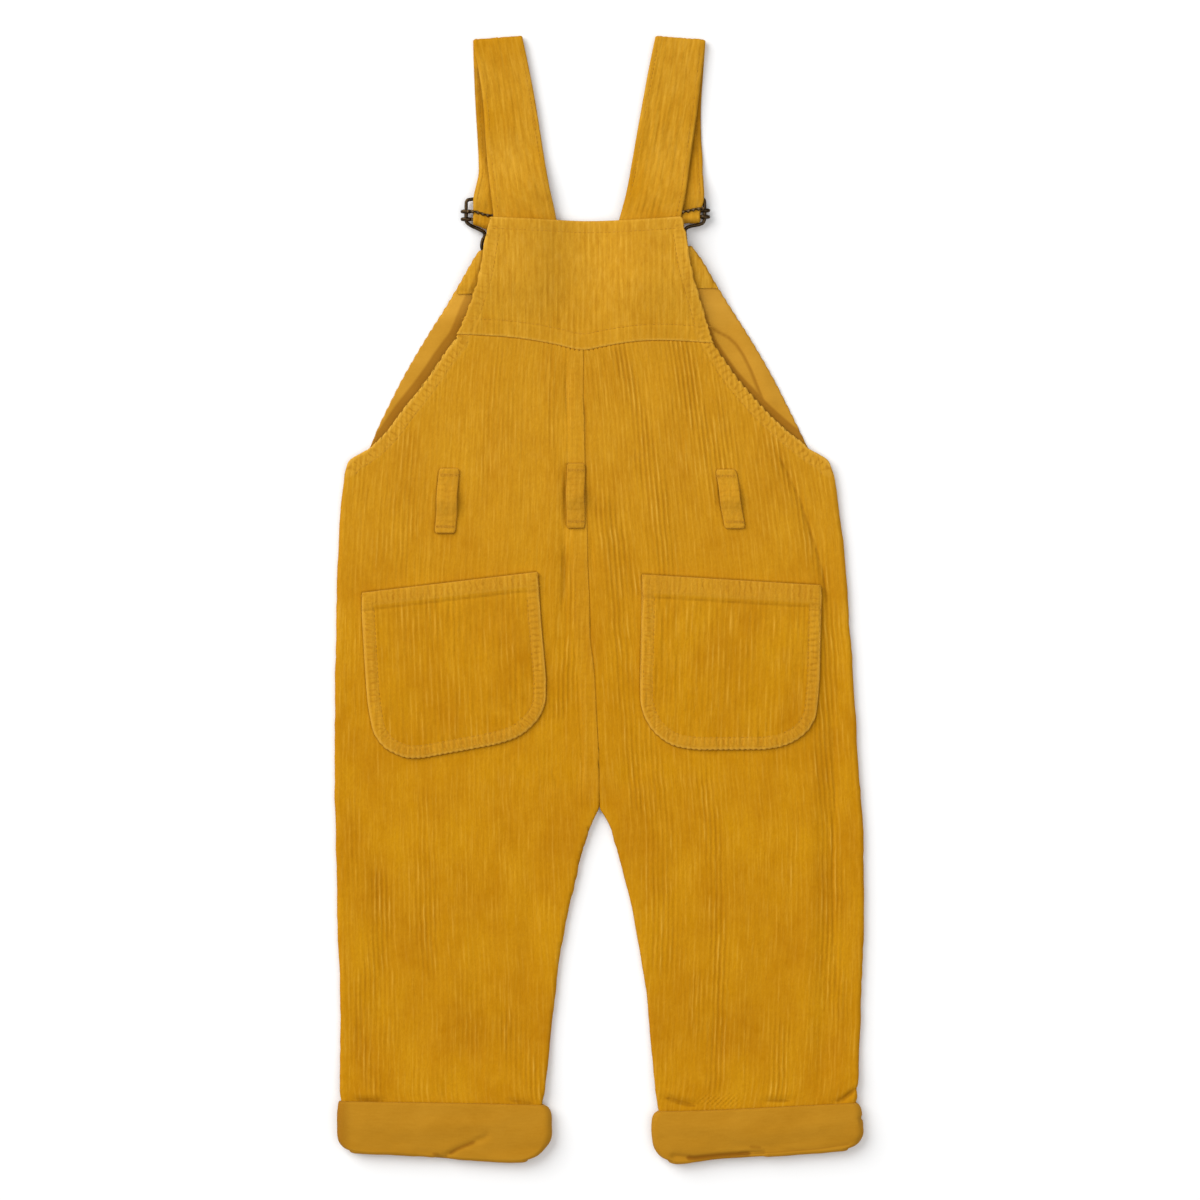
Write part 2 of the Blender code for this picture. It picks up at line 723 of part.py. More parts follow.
def button(name, side):
    """A dungaree button: a low cap that lies on the surface, and its shank up to the bib."""
    profile = [
        (0.0, 0.0),
        (5.6, 0.0),
        (7.6, 0.5),
        (BUTTON_R, 1.3),
        (8.2, 2.1),
        (6.6, 2.6),
        (SHANK_R, 2.6),
        (SHANK_R, 5.05),
        (0.0, 5.05),
    ]
    mesh = bpy.data.meshes.new(name)
    edges = [(i, i + 1) for i in range(len(profile) - 1)]
    mesh.from_pydata([(a * MM, 0, b * MM) for a, b in profile], edges, [])
    thing = link(name, mesh, BRASS)
    thing.location = (CLIP_X[side] * MM, (CLIP_Y[side] - BUTTON_DOWN) * MM, 0)
    turn = thing.modifiers.new("turn", "SCREW")
    turn.steps = 24
    turn.render_steps = 24
    turn.use_merge_vertices = True
    turn.merge_threshold = 0.00001
    turn.use_normal_flip = True
    return thing


for side, word in enumerate(("left", "right")):
    wire("buckle_frame_" + word, side)
    slide("buckle_slide_" + word, side)
    button("bib_button_" + word, side)

bpy.context.view_layer.update()
graph = bpy.context.evaluated_depsgraph_get()
low, high = np.full(3, np.inf), np.full(3, -np.inf)
total = 0
for thing in dungarees.objects:
    evaluated = thing.evaluated_get(graph)
    mesh = evaluated.to_mesh()
    mesh.calc_loop_triangles()
    total += len(mesh.loop_triangles)
    spots = np.array([evaluated.matrix_world @ v.co for v in mesh.vertices]) / MM
    low, high = np.minimum(low, spots.min(0)), np.maximum(high, spots.max(0))
    print(thing.name, len(mesh.loop_triangles), "triangles")
    evaluated.to_mesh_clear()
print("box", np.round(low, 2), np.round(high, 2), total, "triangles")
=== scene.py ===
# %% [markdown]
# # A child's corduroy dungarees, laid face down
#
# The garment lies on a pale table with its back up. It is cut from ribbed cotton corduroy and sewn from
# flat pieces: two back halves with legs, a yoke, a bib, straps, pockets, belt loops and turned-up cuffs,
# with a wire clip on each strap. Each piece here is a thin closed shell of cloth, made from the same sizes
# as the solid it stands for.

import math

import bpy
import numpy as np
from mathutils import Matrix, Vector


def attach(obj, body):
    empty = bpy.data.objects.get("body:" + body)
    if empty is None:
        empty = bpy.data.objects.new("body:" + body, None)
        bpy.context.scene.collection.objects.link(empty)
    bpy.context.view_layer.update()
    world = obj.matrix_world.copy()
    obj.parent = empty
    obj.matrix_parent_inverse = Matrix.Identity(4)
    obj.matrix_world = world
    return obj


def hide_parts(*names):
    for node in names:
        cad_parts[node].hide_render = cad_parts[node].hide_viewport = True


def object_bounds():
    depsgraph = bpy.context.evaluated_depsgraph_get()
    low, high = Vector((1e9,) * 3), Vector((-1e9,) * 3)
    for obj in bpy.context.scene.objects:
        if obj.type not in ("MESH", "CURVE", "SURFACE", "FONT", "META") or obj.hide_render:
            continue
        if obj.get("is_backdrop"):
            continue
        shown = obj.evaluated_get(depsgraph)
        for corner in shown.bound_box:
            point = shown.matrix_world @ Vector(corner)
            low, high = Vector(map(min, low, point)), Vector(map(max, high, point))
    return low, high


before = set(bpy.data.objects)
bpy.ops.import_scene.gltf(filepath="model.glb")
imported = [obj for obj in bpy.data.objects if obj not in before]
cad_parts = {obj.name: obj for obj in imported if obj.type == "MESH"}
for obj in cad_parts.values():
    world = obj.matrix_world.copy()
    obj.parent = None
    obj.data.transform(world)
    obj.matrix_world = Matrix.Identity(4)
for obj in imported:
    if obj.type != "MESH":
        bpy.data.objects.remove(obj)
cad_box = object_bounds()
MM = 0.001
print("CAD box in mm", [[round(c / MM, 1) for c in corner] for corner in cad_box])

# %% [markdown]
# ## The cloth's sizes
#
# X runs across the garment, Y from the feet to the shoulders, Z up from the table, all in millimetres until
# a mesh is made. The tables hold the cut lines of each piece, and one smooth curve goes through each of
# them.

# %% Walls and layers
WALL = 1.6  # corduroy, one layer
FACING_WALL = 1.2
PATCH_WALL = 1.4  # pockets and belt loops
STRAP_WALL = 1.8  # corduroy folded double and pressed
SEAM = 0.3  # between pieces that are sewn together
GAP = 1.8  # air between the front and the back
ROLL = 1.2  # a side fold's depth over its height
WAIST_Y, CROTCH_Y = 66.0, -124.0
YOKE_LOW, YOKE_HIGH = 157.0, 229.0
CLIP_X, CLIP_Y = (-60.8, 44.1), (240.5, 241.2)
BUTTON_DOWN = 42.5
ON_BACK = WALL / 2 + SEAM + PATCH_WALL / 2 + 0.05
PUCKER = 3.6  # from one small pucker to the next along a seam
EDGE_BAND = 8.6  # how wide the turned-in edge is
FIRST_ROW, INNER_ROW = 1.5, 7.1  # the two rows of topstitching, from a cut edge
print("two layers and the air between them:", round(2 * WALL + GAP, 1), "mm")

# %% Cut lines of the legs and the back
OUTER = [  # y, left, right: cuff, leg side, underarm, back armhole
    (-331, -151.3, 151.3), (-303, -154.2, 153.8), (-293, -156, 155.3), (-271, -155.5, 156),
    (-242.5, -155.7, 157.2), (-199, -157, 158.6), (-156, -158.2, 158.8), (-127, -158.7, 157.7),
    (-84, -158.8, 154.7), (-19, -158.3, 150.6), (24, -157, 147.5), (60, -154.6, 143.3),
    (72, -153.2, 141.2), (79, -151.8, 139.3), (84, -149.2, 136.3), (87.5, -143.5, 131), (91, -137.5, 125),
    (94, -134.5, 122), (101.5, -127, 112.5), (111.5, -119.5, 102), (127, -107, 88.5), (135, -101, 82),
    (148, -92, 73.5), (157, -85, 68),
]
INNER = [  # y, left leg, right leg: cuff to crotch
    (-331, -34.3, 38.7), (-303, -34.2, 34.8), (-293, -32.3, 33.6), (-264, -29.2, 31), (-228, -25.5, 27),
    (-199, -21, 22.2), (-170.5, -14.8, 16.2), (-156, -11.2, 12.4), (-141.5, -7, 8), (-130, -3, 3.8),
    (-124, 0, 0),
]
CENTRE = [  # y, x: the seam down the middle of the back
    (-124, 0), (-60, -2), (-24, -4.8), (36, -7.2), (75.5, -8.6), (157, -9.6),
]
YOKE_SEAM = [  # x, y: a shallow V
    (-88, 159.5), (-71, 159), (-49.5, 157.4), (-26.5, 153.6), (-15, 150.8), (-9, 150.2), (2, 152.2),
    (19, 155), (36.5, 156), (70, 154.2),
]
YOKE = [  # y, left, right
    (157, -85, 68), (165.5, -81, 65), (177, -76.7, 61.5), (187, -73.4, 58.3), (196.5, -71, 55.5),
    (206.5, -69.3, 53.4), (217, -67.6, 51.8), (229, -65, 49.2),
]
YOKE_TOP = [(-65.0, 229.2), (-36.0, 228.0), (-6.5, 227.0), (24.0, 227.8), (49.0, 229.4)]  # x, y
BIB = [  # y, left, right
    (91, -137.5, 125), (103, -132.6, 119.2), (117.5, -125.6, 112), (132, -118.2, 104.6),
    (146.5, -110, 96.4), (161, -101.2, 87.6), (175, -92.2, 78.6), (189.5, -83.5, 69.5), (204, -75.2, 61),
    (211.5, -70.5, 55.5),
]
BIB_TOP = [(-70.5, 209.5), (-8.0, 210.5), (55.5, 212.0)]  # x, y
print("leg, from crotch to cuff:", CROTCH_Y - INNER[0][0], "mm")

# %% Cut lines of the pockets, loops, straps and cuffs
POCKETS = {  # left x and y, right x and y of each row, from the opening down
    "pocket_left": [
        (-142.5, 4, -37, 16.5), (-142, -12.5, -35.6, -8), (-141, -29.5, -33.8, -29),
        (-139.2, -56.5, -32.2, -49.5), (-137.5, -69, -32.8, -61.5), (-135.4, -78.5, -36.6, -70.5),
        (-132, -84.5, -43, -77.5), (-127, -89.5, -49.5, -82), (-118.5, -93.5, -56, -84.5),
        (-113, -94.6, -60, -85.7), (-106, -94.4, -65, -86.9),
    ],
    "pocket_right": [
        (26, 15, 133.2, 8.5), (25.8, -4, 133, -6), (25.4, -20, 132.6, -20), (24.8, -54.5, 131.8, -49.5),
        (26, -65.5, 130, -67.5), (29, -73, 128, -73), (34, -79.8, 124.5, -78.5), (42, -85.8, 117.5, -84),
        (50, -88.4, 109, -87.6), (60, -89.6, 99, -89.3),
    ],
}
LOOPS = [  # name, top x, top y, bottom x, bottom y, width
    ("belt_loop_left", -90.0, 78.6, -92.6, 40.4, 11.6),
    ("belt_loop_centre", -14.0, 81.6, -14.2, 43.4, 10.2),
    ("belt_loop_right", 76.0, 78.0, 81.4, 43.2, 11.6),
]
STRAP_BACK = [  # y, left x, right x: from under the yoke to the shoulder
    [
        (221.5, -63, -25), (229, -63, -26), (243.5, -64.5, -29.5), (262, -66.6, -33), (279.5, -68, -35.8),
        (299.5, -69.3, -39), (318, -72, -42.5), (337, -75.3, -46.6),
    ],
    [
        (221.5, 10.6, 47.8), (229, 12.6, 48.4), (243.5, 16.5, 51.3), (262, 20, 53.8), (279.5, 23, 56.2),
        (299.5, 26.6, 59), (318, 30, 61), (337, 34, 63.2),
    ],
]
STRAP_FRONT = [  # y, left x, right x, height: from the shoulder down through the slide
    [
        (318, -74.8, -45.8, 0.9), (296, -73.8, -44.8, 0.9), (276, -72.6, -43.8, 0.9),
        (264, -72, -43.4, 1.5), (256, -72, -43.6, 3), (248, -73.6, -44.8, 5.2), (243, -74.8, -46, 6.1),
        (239.5, -75.2, -46.4, 6.2), (236.5, -75.2, -46.4, 5.5), (233.2, -75.2, -46.4, 4.9),
        (231.2, -75.2, -46.4, 5.35),
    ],
    [
        (318, 33, 62, 0.9), (296, 31.6, 60.6, 0.9), (276, 31.8, 60.8, 0.9), (264, 32.4, 61.6, 1.5),
        (256, 33, 61.6, 3), (248.5, 33.6, 62, 5.2), (243.6, 33.6, 62.2, 6.1), (240.2, 32.8, 62.2, 6.2),
        (237.3, 31.6, 61.6, 5.5), (234.4, 30.4, 60.6, 4.9), (232.3, 30, 60, 5.35),
    ],
]
CUFF_SIDES = [  # how far down the cuff, then left x and right x of each cuff
    (0, -156.4, -33, 35.2, 154.6), (0.05, -156.8, -30.4, 33, 156.2), (0.15, -157.1, -28.9, 31.7, 157.3),
    (0.28, -157.4, -28.4, 31.3, 157.8), (0.34, -157.4, -28.4, 31.2, 157.3),
    (0.42, -157.4, -28.4, 31.2, 158.4), (0.65, -157.4, -28.6, 31.6, 158.6),
    (0.78, -157.2, -29.8, 32.3, 158.1), (0.88, -156.3, -32.3, 33.7, 156.6),
    (0.94, -154.9, -35, 35.4, 154.7), (0.98, -152.9, -38.4, 37.8, 152.3), (1, -150.2, -42.5, 41, 149.8),
]
CUFF_TOP = [(-157.0, -301.0), (-32.0, -303.5), (32.0, -307.0), (157.0, -302.0)]  # x, y
CUFF_FOLD = [  # x, y: the lowest edge
    (-157, -330), (-150, -331.5), (-119.5, -333.2), (-77.5, -336.4), (-52, -337.4), (-39, -336.2),
    (-28, -333), (31, -334.5), (40, -337.2), (47, -338.6), (72.5, -335.8), (113, -333.4), (145, -331),
    (158, -329.5),
]
CUFF_TURN, CUFF_HEIGHT, CUFF_LIFT = 1.2, 8.0, 2.4
print(len(POCKETS), "pockets,", len(LOOPS), "belt loops and", len(STRAP_BACK), "straps")

# %% Folds that the cloth has taken
FOLDS = [  # height, width, then the points that the crease runs through
    (-0.8, 7.0, [(112, 72), (121, 58), (136, 24), (140.5, -40), (135, -290)]),
    (0.6, 8.0, [(126, -110), (128, -180), (126, -260)]),
    (-0.6, 6.0, [(-133, -160), (-128, -205), (-132, -250)]),
    (0.6, 12.0, [(-100, -120), (-84, -200), (-92, -280)]),
    (0.5, 10.0, [(72, -120), (84, -210), (80, -280)]),
    (-0.5, 6.0, [(-62, -118), (-40, -160), (-44, -230)]),
    (0.5, 9.0, [(-60, 130), (-52, 90), (-56, 30)]),
    (0.5, 9.0, [(40, 128), (34, 92), (40, 40)]),
    (-0.7, 4.5, [(-19, 82), (-20.5, 45), (-20, 10), (-22, -30)]),
    (0.4, 4.0, [(4, 60), (5, 10)]),
    (-0.5, 8.0, [(-30, -96), (-12, -112), (-4, -120)]),
    (-0.5, 8.0, [(24, -98), (10, -112), (4, -120)]),
    (-0.6, 3.0, [(-19.5, 138), (-19, 110)]),
]
print(len(FOLDS), "soft folds")

# %% [markdown]
# ## Three small tools for lines and surfaces
#
# `smooth` draws one curve through a table, `ease` goes softly from 0 to 1, and `drift` is soft unevenness
# from a fixed seed, so that nothing on the cloth is quite regular and every run gives the same garment.


# %% Curves through tables
def smooth(table, at, column=1):
    t = np.array([row[0] for row in table], float)
    v = np.array([row[column] for row in table], float)
    slope = np.diff(v) / np.diff(t)
    tangent = np.concatenate([slope[:1], (slope[:-1] + slope[1:]) / 2, slope[-1:]])
    tangent[np.concatenate([[False], slope[:-1] * slope[1:] <= 0, [False]])] = 0
    at = np.clip(np.asarray(at, float), t[0], t[-1])
    i = np.clip(np.searchsorted(t, at, "right") - 1, 0, len(t) - 2)
    h = t[i + 1] - t[i]
    s = (at - t[i]) / h
    ends = v[i] * (1 + 2 * s) * (1 - s) ** 2 + v[i + 1] * s * s * (3 - 2 * s)
    return ends + h * s * (1 - s) * (tangent[i] * (1 - s) - tangent[i + 1] * s)


def ease(a, b, at):
    s = np.clip((np.asarray(at, float) - a) / (b - a), 0, 1)
    return s * s * (3 - 2 * s)


def sided(table, side, at):
    """The left or the right column of a table of edges."""
    return smooth(table, at, 1 if side < 0 else 2)


def hump(distance, width, power=2):
    """1 on a line, and softly down to 0 beside it."""
    return np.exp(-((distance / width) ** power))


def near(points, x, y):
    """How far places are from a line through points, and how far along it the nearest point is."""
    x, y = np.broadcast_arrays(np.asarray(x, float), y)
    best, along, gone = np.full(x.shape, np.inf), np.zeros(x.shape), 0.0
    for (ax, ay), (bx, by) in zip(points, points[1:]):
        dx, dy = bx - ax, by - ay
        long = math.hypot(dx, dy)
        s = np.clip(((x - ax) * dx + (y - ay) * dy) / max(long * long, 1e-9), 0, 1)
        far = np.hypot(x - ax - s * dx, y - ay - s * dy)
        along = np.where(far < best, gone + s * long, along)
        best = np.minimum(best, far)
        gone += long
    return best, along


def away(points, x, y):
    return near(points, x, y)[0]


def drift(x, y, wide, tall, seed):
    """Soft unevenness from -1 to 1, in patches of that width and height."""
    grid = np.random.default_rng(seed).uniform(-1, 1, (64, 64))
    a, b = np.asarray(x, float) / wide + 640, np.asarray(y, float) / tall + 640
    i, j = np.floor(a).astype(int), np.floor(b).astype(int)
    s, t = ease(0, 1, a - i), ease(0, 1, b - j)
    low = grid[i % 64, j % 64] * (1 - s) + grid[(i + 1) % 64, j % 64] * s
    high = grid[i % 64, (j + 1) % 64] * (1 - s) + grid[(i + 1) % 64, (j + 1) % 64] * s
    return low * (1 - t) + high * t


def creased(folds, x, y):
    """The sum of soft ridges and troughs, each with a height, a width and the points it runs through."""
    return sum(tall * hump(away(points, x, y), wide) for tall, wide, points in folds)


print("waist at y 60:", round(float(sided(OUTER, 1, 60) - sided(OUTER, -1, 60)), 1), "mm across")

# %% [markdown]
# ## How high each layer lies
#
# The front of the garment is flat on the table, the back lies over it with a little air between, and both
# rise over the two clips and bib buttons that are under the yoke. The folds are soft troughs and ridges in
# the back's height.


# %% Heights of the two layers
def over_clips(x, y):
    total = 0.0
    for clip_x, clip_y in zip(CLIP_X, CLIP_Y):
        below = np.maximum(0.0, clip_y - BUTTON_DOWN - y)
        total = total + hump(x - clip_x, 36.0, 4) * hump(below, 30.0)
    return np.minimum(total, 1.0)


def front_z(x, y):
    return WALL / 2 + 5.6 * over_clips(x, y) + CUFF_LIFT * ease(-262, -298, y)


def back_z(x, y):
    folds = creased(FOLDS, x, y) * (1 - ease(-280, -298, y))
    lift = (3 * CUFF_LIFT / 2 - GAP - WALL / 2 + 0.6) * ease(-262, -298, y)
    return 1.5 * WALL + GAP + 7.3 * over_clips(x, y) + folds + lift


for what, x, y in (("over a clip", -60.8, 215.0), ("on a leg", -90.0, -180.0)):
    print("the back", what, "lies", round(float(back_z(x, y)), 1), "mm up")

# %% [markdown]
# ## A finish is a small tree of shader nodes
#
# Cloth needs a few dozen sums of noises and masks. The `Value` class wraps one socket, so that a line such
# as `1 - groove * 0.3` adds its Math nodes by itself. Every other node comes from `Finish.node`, which sets
# the node's own settings first and then fills its sockets with numbers or links.


# %% Shader sums as plain expressions
class Value:
    def __init__(self, finish, socket):
        self.finish, self.socket = finish, socket

    def sum(self, operation, *others):
        """The Math node with this value and others in its sockets."""
        sockets = dict(enumerate((self, *others)))
        return self.finish.node("ShaderNodeMath", {"operation": operation}, sockets)

    def __add__(self, other):
        return self.sum("ADD", other)

    def __sub__(self, other):
        return self.sum("SUBTRACT", other)

    def __rsub__(self, other):
        return self.sum("MULTIPLY_ADD", -1, other)

    def __mul__(self, other):
        return self.sum("MULTIPLY", other)

    def __pow__(self, other):
        return self.sum("POWER", other)

    def above(self, low, high):
        """0 below low, 1 above high."""
        return self.finish.node("ShaderNodeMapRange", {}, {0: self, 1: low, 2: high, 3: 0.0, 4: 1.0})

    __radd__ = __add__
    __rmul__ = __mul__


class Finish:
    def __init__(self, name, rough, **fixed):
        self.material = bpy.data.materials.new(name)
        self.material.use_nodes = True
        self.tree = self.material.node_tree
        self.shader = self.tree.nodes["Principled BSDF"]
        self.shader.inputs["Roughness"].default_value = rough
        for socket, value in fixed.items():
            self.shader.inputs[socket.replace("_", " ")].default_value = value

    def node(self, kind, settings, sockets, out=0):
        made = self.tree.nodes.new(kind)
        for key, value in settings.items():
            setattr(made, key, value)
        for key, value in sockets.items():
            if isinstance(value, Value):
                self.tree.links.new(value.socket, made.inputs[key])
            else:
                made.inputs[key].default_value = value
        return Value(self, made.outputs[out])

    def attribute(self, name, out="Fac"):
        return self.node("ShaderNodeAttribute", {"attribute_name": name}, {}, out)

    def scaled(self, place, scale):
        return self.node("ShaderNodeVectorMath", {"operation": "MULTIPLY"}, {0: place, 1: scale})

    def stretched(self, along, across):
        """The cloth's own map, with one unit for a millimetre, stretched for a pattern."""
        return self.scaled(self.node("ShaderNodeUVMap", {"uv_map": "cloth"}, {}), (across, along, 1.0))

    def noise(self, place, scale, detail=2.0, rough=0.5):
        sockets = {"Vector": place, "Scale": scale, "Detail": detail, "Roughness": rough}
        return self.node("ShaderNodeTexNoise", {}, sockets)

    def pattern(self, along, across, detail, rough=0.5):
        """A noise on the cloth's own map."""
        return self.noise(self.stretched(along, across), 1.0, detail, rough)

    def blend(self, share, first, second):
        return self.node("ShaderNodeMix", {"data_type": "RGBA"}, {0: share, 6: first, 7: second}, out=2)

    def layered(self, colour, layers):
        """A colour with others laid over it in turn, each by its own share."""
        for share, over in layers:
            colour = self.blend(share, colour, tone(*over))
        return colour

    def wear(self, **sockets):
        for key, value in sockets.items():
            self.tree.links.new(value.socket, self.shader.inputs[key.replace("_", " ")])

    def bump(self, height, depth_mm, strength):
        sockets = {"Height": height, "Distance": depth_mm * MM, "Strength": strength}
        bumped = self.node("ShaderNodeBump", {}, sockets)
        self.tree.links.new(bumped.socket, self.shader.inputs["Normal"])


def placed(name, data):
    """A new object in the scene."""
    thing = bpy.data.objects.new(name, data)
    bpy.context.scene.collection.objects.link(thing)
    return thing


def tone(red, green, blue):
    """A colour as a screen shows it, turned into light."""
    linear = [c / 255 / 12.92 if c <= 10 else ((c / 255 + 0.055) / 1.055) ** 2.4 for c in (red, green, blue)]
    return (*linear, 1.0)


print("a mid mustard as light:", [round(c, 3) for c in tone(205, 147, 30)])

# %% [markdown]
# ## Corduroy
#
# Corduroy is a cotton weave with ribs of cut pile, called wales. The pile is crushed here and there, so its
# ribs show as light and dark streaks that run along them, with short blocks across them where the nap lies
# another way, and soft patches over the whole cloth. Where a hem or a seam holds several layers, the pile
# is pressed flat and looks lighter and greyer. The wales themselves are in the mesh, and the finish adds
# the streaks, the blocks and the fuzz, a painted highlight on the tops of some ribs, and painted shade in
# the grooves between them. Each is a thin layer of colour over the one before, in the order of the list.

# %% Finish of the corduroy
corduroy = Finish("ribbed_corduroy", 0.92, Sheen_Weight=0.14, Sheen_Roughness=0.45, Specular_IOR_Level=0.06,
                  Sheen_Tint=tone(255, 200, 70))
marks_on_it = ("wale", "shows", "pressed", "pale", "hem", "run", "beside")
wale, shows, pressed, pale, hem, run, beside = (corduroy.attribute(mark) for mark in marks_on_it)
ribbed = (wale * (2 * math.pi)).sum("COSINE")
groove, ridge = (1 - ribbed) * 0.5, (1 + ribbed) * 0.5
along = corduroy.node("ShaderNodeSeparateXYZ", {}, {0: corduroy.stretched(1.0, 1.0)}, out=1)


def along_wales(turns, stretch, start):
    """A place for a noise that differs from wale to wale and runs along them."""
    return corduroy.node("ShaderNodeCombineXYZ", {}, {0: wale * turns, 1: along * stretch, 2: start})


# A painted highlight on the tops of some ribs, and painted shade down some grooves.
ridge_highlight = corduroy.noise(along_wales(1.3, 0.045, 0.0), 1.0, 3.0, 0.55).above(0.50, 0.72) * ridge**3
groove_shade = corduroy.noise(along_wales(1.0, 0.040, 9.0), 1.0, 3.0, 0.55).above(0.52, 0.74) * groove**2
short_marks = corduroy.noise(along_wales(1.7, 0.13, 5.0), 1.0, 3.0, 0.65).above(0.30, 0.72)
streaks = corduroy.pattern(0.040, 0.75, 4.0, 0.6)
lit, unlit = streaks.above(0.52, 0.74), 1 - streaks.above(0.26, 0.48)
patch = corduroy.pattern(0.018, 0.030, 4.0, 0.55).above(0.32, 0.68)
lively = corduroy.pattern(0.016, 0.026, 2.0).above(0.40, 0.62) * 0.20 + 0.10
lively = lively * (0.85 + pale * 0.75)
crushed = corduroy.pattern(0.10, 0.09, 3.0, 0.6).above(0.35, 0.70)
blocks = corduroy.pattern(0.11, 0.42, 2.0)
nap = corduroy.pattern(0.42, 0.75, 4.0, 0.75).above(0.28, 0.72)
grain = corduroy.pattern(0.8, 0.8, 2.0, 0.8).above(0.30, 0.70)
# The bands have no streaks of their own, only a greyer tone, so they come under the nap.
in_band = 1 - hem.above(0.92, 1.06)
pile = corduroy.blend(patch, tone(173, 113, 0), tone(192, 135, 6))
pile = corduroy.layered(pile, [  # how much shows, and the colour that is laid over
    (pale * (0.62 + patch * 0.34), (194, 143, 40)),
    (in_band * pressed * 0.36, (200, 148, 44)),
    (crushed * 0.22, (206, 150, 32)),
    (short_marks * (0.16 + pale * 0.14), (212, 158, 36)),
    (nap * (0.38 - pale * 0.10), (154, 98, 0)),
    (blocks.above(0.54, 0.66) * pale * 0.15, (224, 174, 70)),
    ((1 - blocks.above(0.34, 0.46)) * pale * 0.24, (160, 102, 4)),
    (lit * lively, (226, 176, 62)),
    (unlit * lively, (148, 92, 0)),
    # Painted light: a highlight on the tops of some ribs, then painted shade in some grooves and in every
    # groove.
    (ridge_highlight * (0.12 + shows * 0.40), (234, 186, 80)),
    (groove_shade * (0.10 + shows * 0.20), (142, 88, 0)),
    (groove * shows * 0.36, (136, 82, 0)),
])

# %% Its seam bands, with painted highlights and shade, and the painted shade beside what is sewn on it
wobble = corduroy.pattern(0.16, 0.16, 2.0)
rungs = (run * (2 * math.pi / PUCKER) + wobble * 9.0).sum("COSINE")
rungs = rungs.above(0.10, 0.95) * hem.above(0.12, 0.30) * (1 - hem.above(0.72, 0.92)) * wobble.above(0.3, 0.6)
colour = corduroy.layered(pile, [
    (in_band * pressed * grain * 0.26, (214, 164, 66)),
    # Painted shade in the hollows of the small puckers.
    (rungs * pressed * 0.62, (146, 90, 4)),
    # A painted highlight along the rolled edge of a band.
    ((1 - hem.above(0.0, 0.20)) * pressed * 0.7, (217, 167, 66)),
    # Painted shade on the rim of a cut edge.
    ((1 - hem.above(-0.8, -0.1)) * 0.5, (120, 72, 2)),
    # Painted shade wherever a piece marks it: beside what is sewn on, under edges and along deep creases.
    ((1 - beside.above(0.1, 1.4)) * (0.08 + wobble * 0.50), (100, 54, 0)),
])
corduroy.wear(Base_Color=colour, Roughness=0.84 + ridge_highlight * 0.12)
fuzz = corduroy.pattern(1.1, 2.6, 3.0, 0.7)
corduroy.bump(fuzz * 0.4 + short_marks * 0.3 + nap * 0.3, 0.3, 0.6)
print(len(corduroy.tree.nodes), "nodes in the corduroy")

# %% [markdown]
# ## The cloth's inside
#
# The back of corduroy is a plain, smooth weave with faint cross threads. It shows on the bib's inner face
# and on the turned-up cuffs. It is duller than the pile, a little browner, and mottled by the ribs behind
# it.

# %% Finish of the inside
inside = Finish("corduroy_reverse", 0.9, Sheen_Weight=0.10, Sheen_Roughness=0.5, Specular_IOR_Level=0.10,
                Sheen_Tint=tone(255, 214, 130))
in_shade, paleness = inside.attribute("beside"), inside.attribute("pale")
mottle = inside.pattern(0.05, 0.03, 4.0, 0.6).above(0.32, 0.70)
threads = inside.pattern(0.9, 0.12, 3.0, 0.7).above(0.25, 0.75)
specks = inside.pattern(0.8, 0.7, 2.0, 0.7).above(0.30, 0.75)
bands = {"Vector": inside.stretched(1.0, 1.0), "Scale": 0.55, "Distortion": 0.6, "Detail": 1.0}
weave = inside.node("ShaderNodeTexWave", {"wave_type": "BANDS", "bands_direction": "DIAGONAL"}, bands, out=1)
tint = mottle * 0.45 + threads * 0.35 + specks * 0.20
inside.wear(Base_Color=inside.layered(inside.blend(tint, tone(163, 111, 15), tone(181, 129, 31)), [
    (paleness * (0.55 + mottle * 0.35), (212, 158, 58)),
    (weave * 0.06, (150, 96, 10)),
    # Painted shade beside the back's edge over the bib, along creases, and towards the left cuff's end.
    ((1 - in_shade.above(-0.5, 0.9)) * (0.74 - paleness * 0.40), (124, 72, 4)),
]))
inside.bump(weave * 0.3 + threads * 0.7, 0.12, 0.4)
print(len(inside.tree.nodes), "nodes in the inside")

# %% [markdown]
# ## Sewing thread and antique brass
#
# The thread is a slightly lighter mustard than the cloth, with a silk sheen. The clips are brass that has
# been browned and rubbed back, so their high places shine and their hollows stay dark.

# %% Finishes of the thread and the metal
thread = Finish("mustard_thread", 0.7, Sheen_Weight=0.06, Specular_IOR_Level=0.15)
spun = thread.node("ShaderNodeTexCoord", {}, {}, out="Object")
twist = thread.noise(spun, 900.0)
thread.wear(Base_Color=thread.blend(twist, tone(174, 120, 12), tone(196, 142, 32)))

brass = Finish("antique_brass_worn", 0.4, Metallic=1.0)
held = brass.node("ShaderNodeTexCoord", {}, {}, out="Object")
stain = brass.noise(held, 260.0, 4.0, 0.6).above(0.35, 0.70)
pits = brass.noise(held, 1400.0, 2.0, 0.6)
edge = brass.node("ShaderNodeNewGeometry", {}, {}, out="Pointiness").above(0.53, 0.60)
brown = brass.blend(stain, tone(32, 24, 15), tone(68, 53, 36))
brass.wear(Base_Color=brass.blend(edge * 0.65, brown, tone(150, 122, 82)), Roughness=0.30 + stain * 0.2)
brass.bump(pits, 0.04, 0.4)
print("finishes:", [f.material.name for f in (corduroy, inside, thread, brass)])

# %% [markdown]
# ## Laying cloth in columns
#
# A wale is a rib about three millimetres wide, so the mesh has to follow the wales: its columns of points
# run along them, six to a wale where the pile shows most and four elsewhere, and each column is cut off
# where it meets the piece's outline, as scissors cut the ribs of the real cloth. Two neighbouring columns
# are then joined like a zip. A grid stretched between the two edges would be simpler, but its ribs would
# bend with every edge and never be cut.

# %% Columns of points inside an outline
WALE = 2.9  # from one rib to the next
RIB = 0.42  # from the groove to the top of a rib


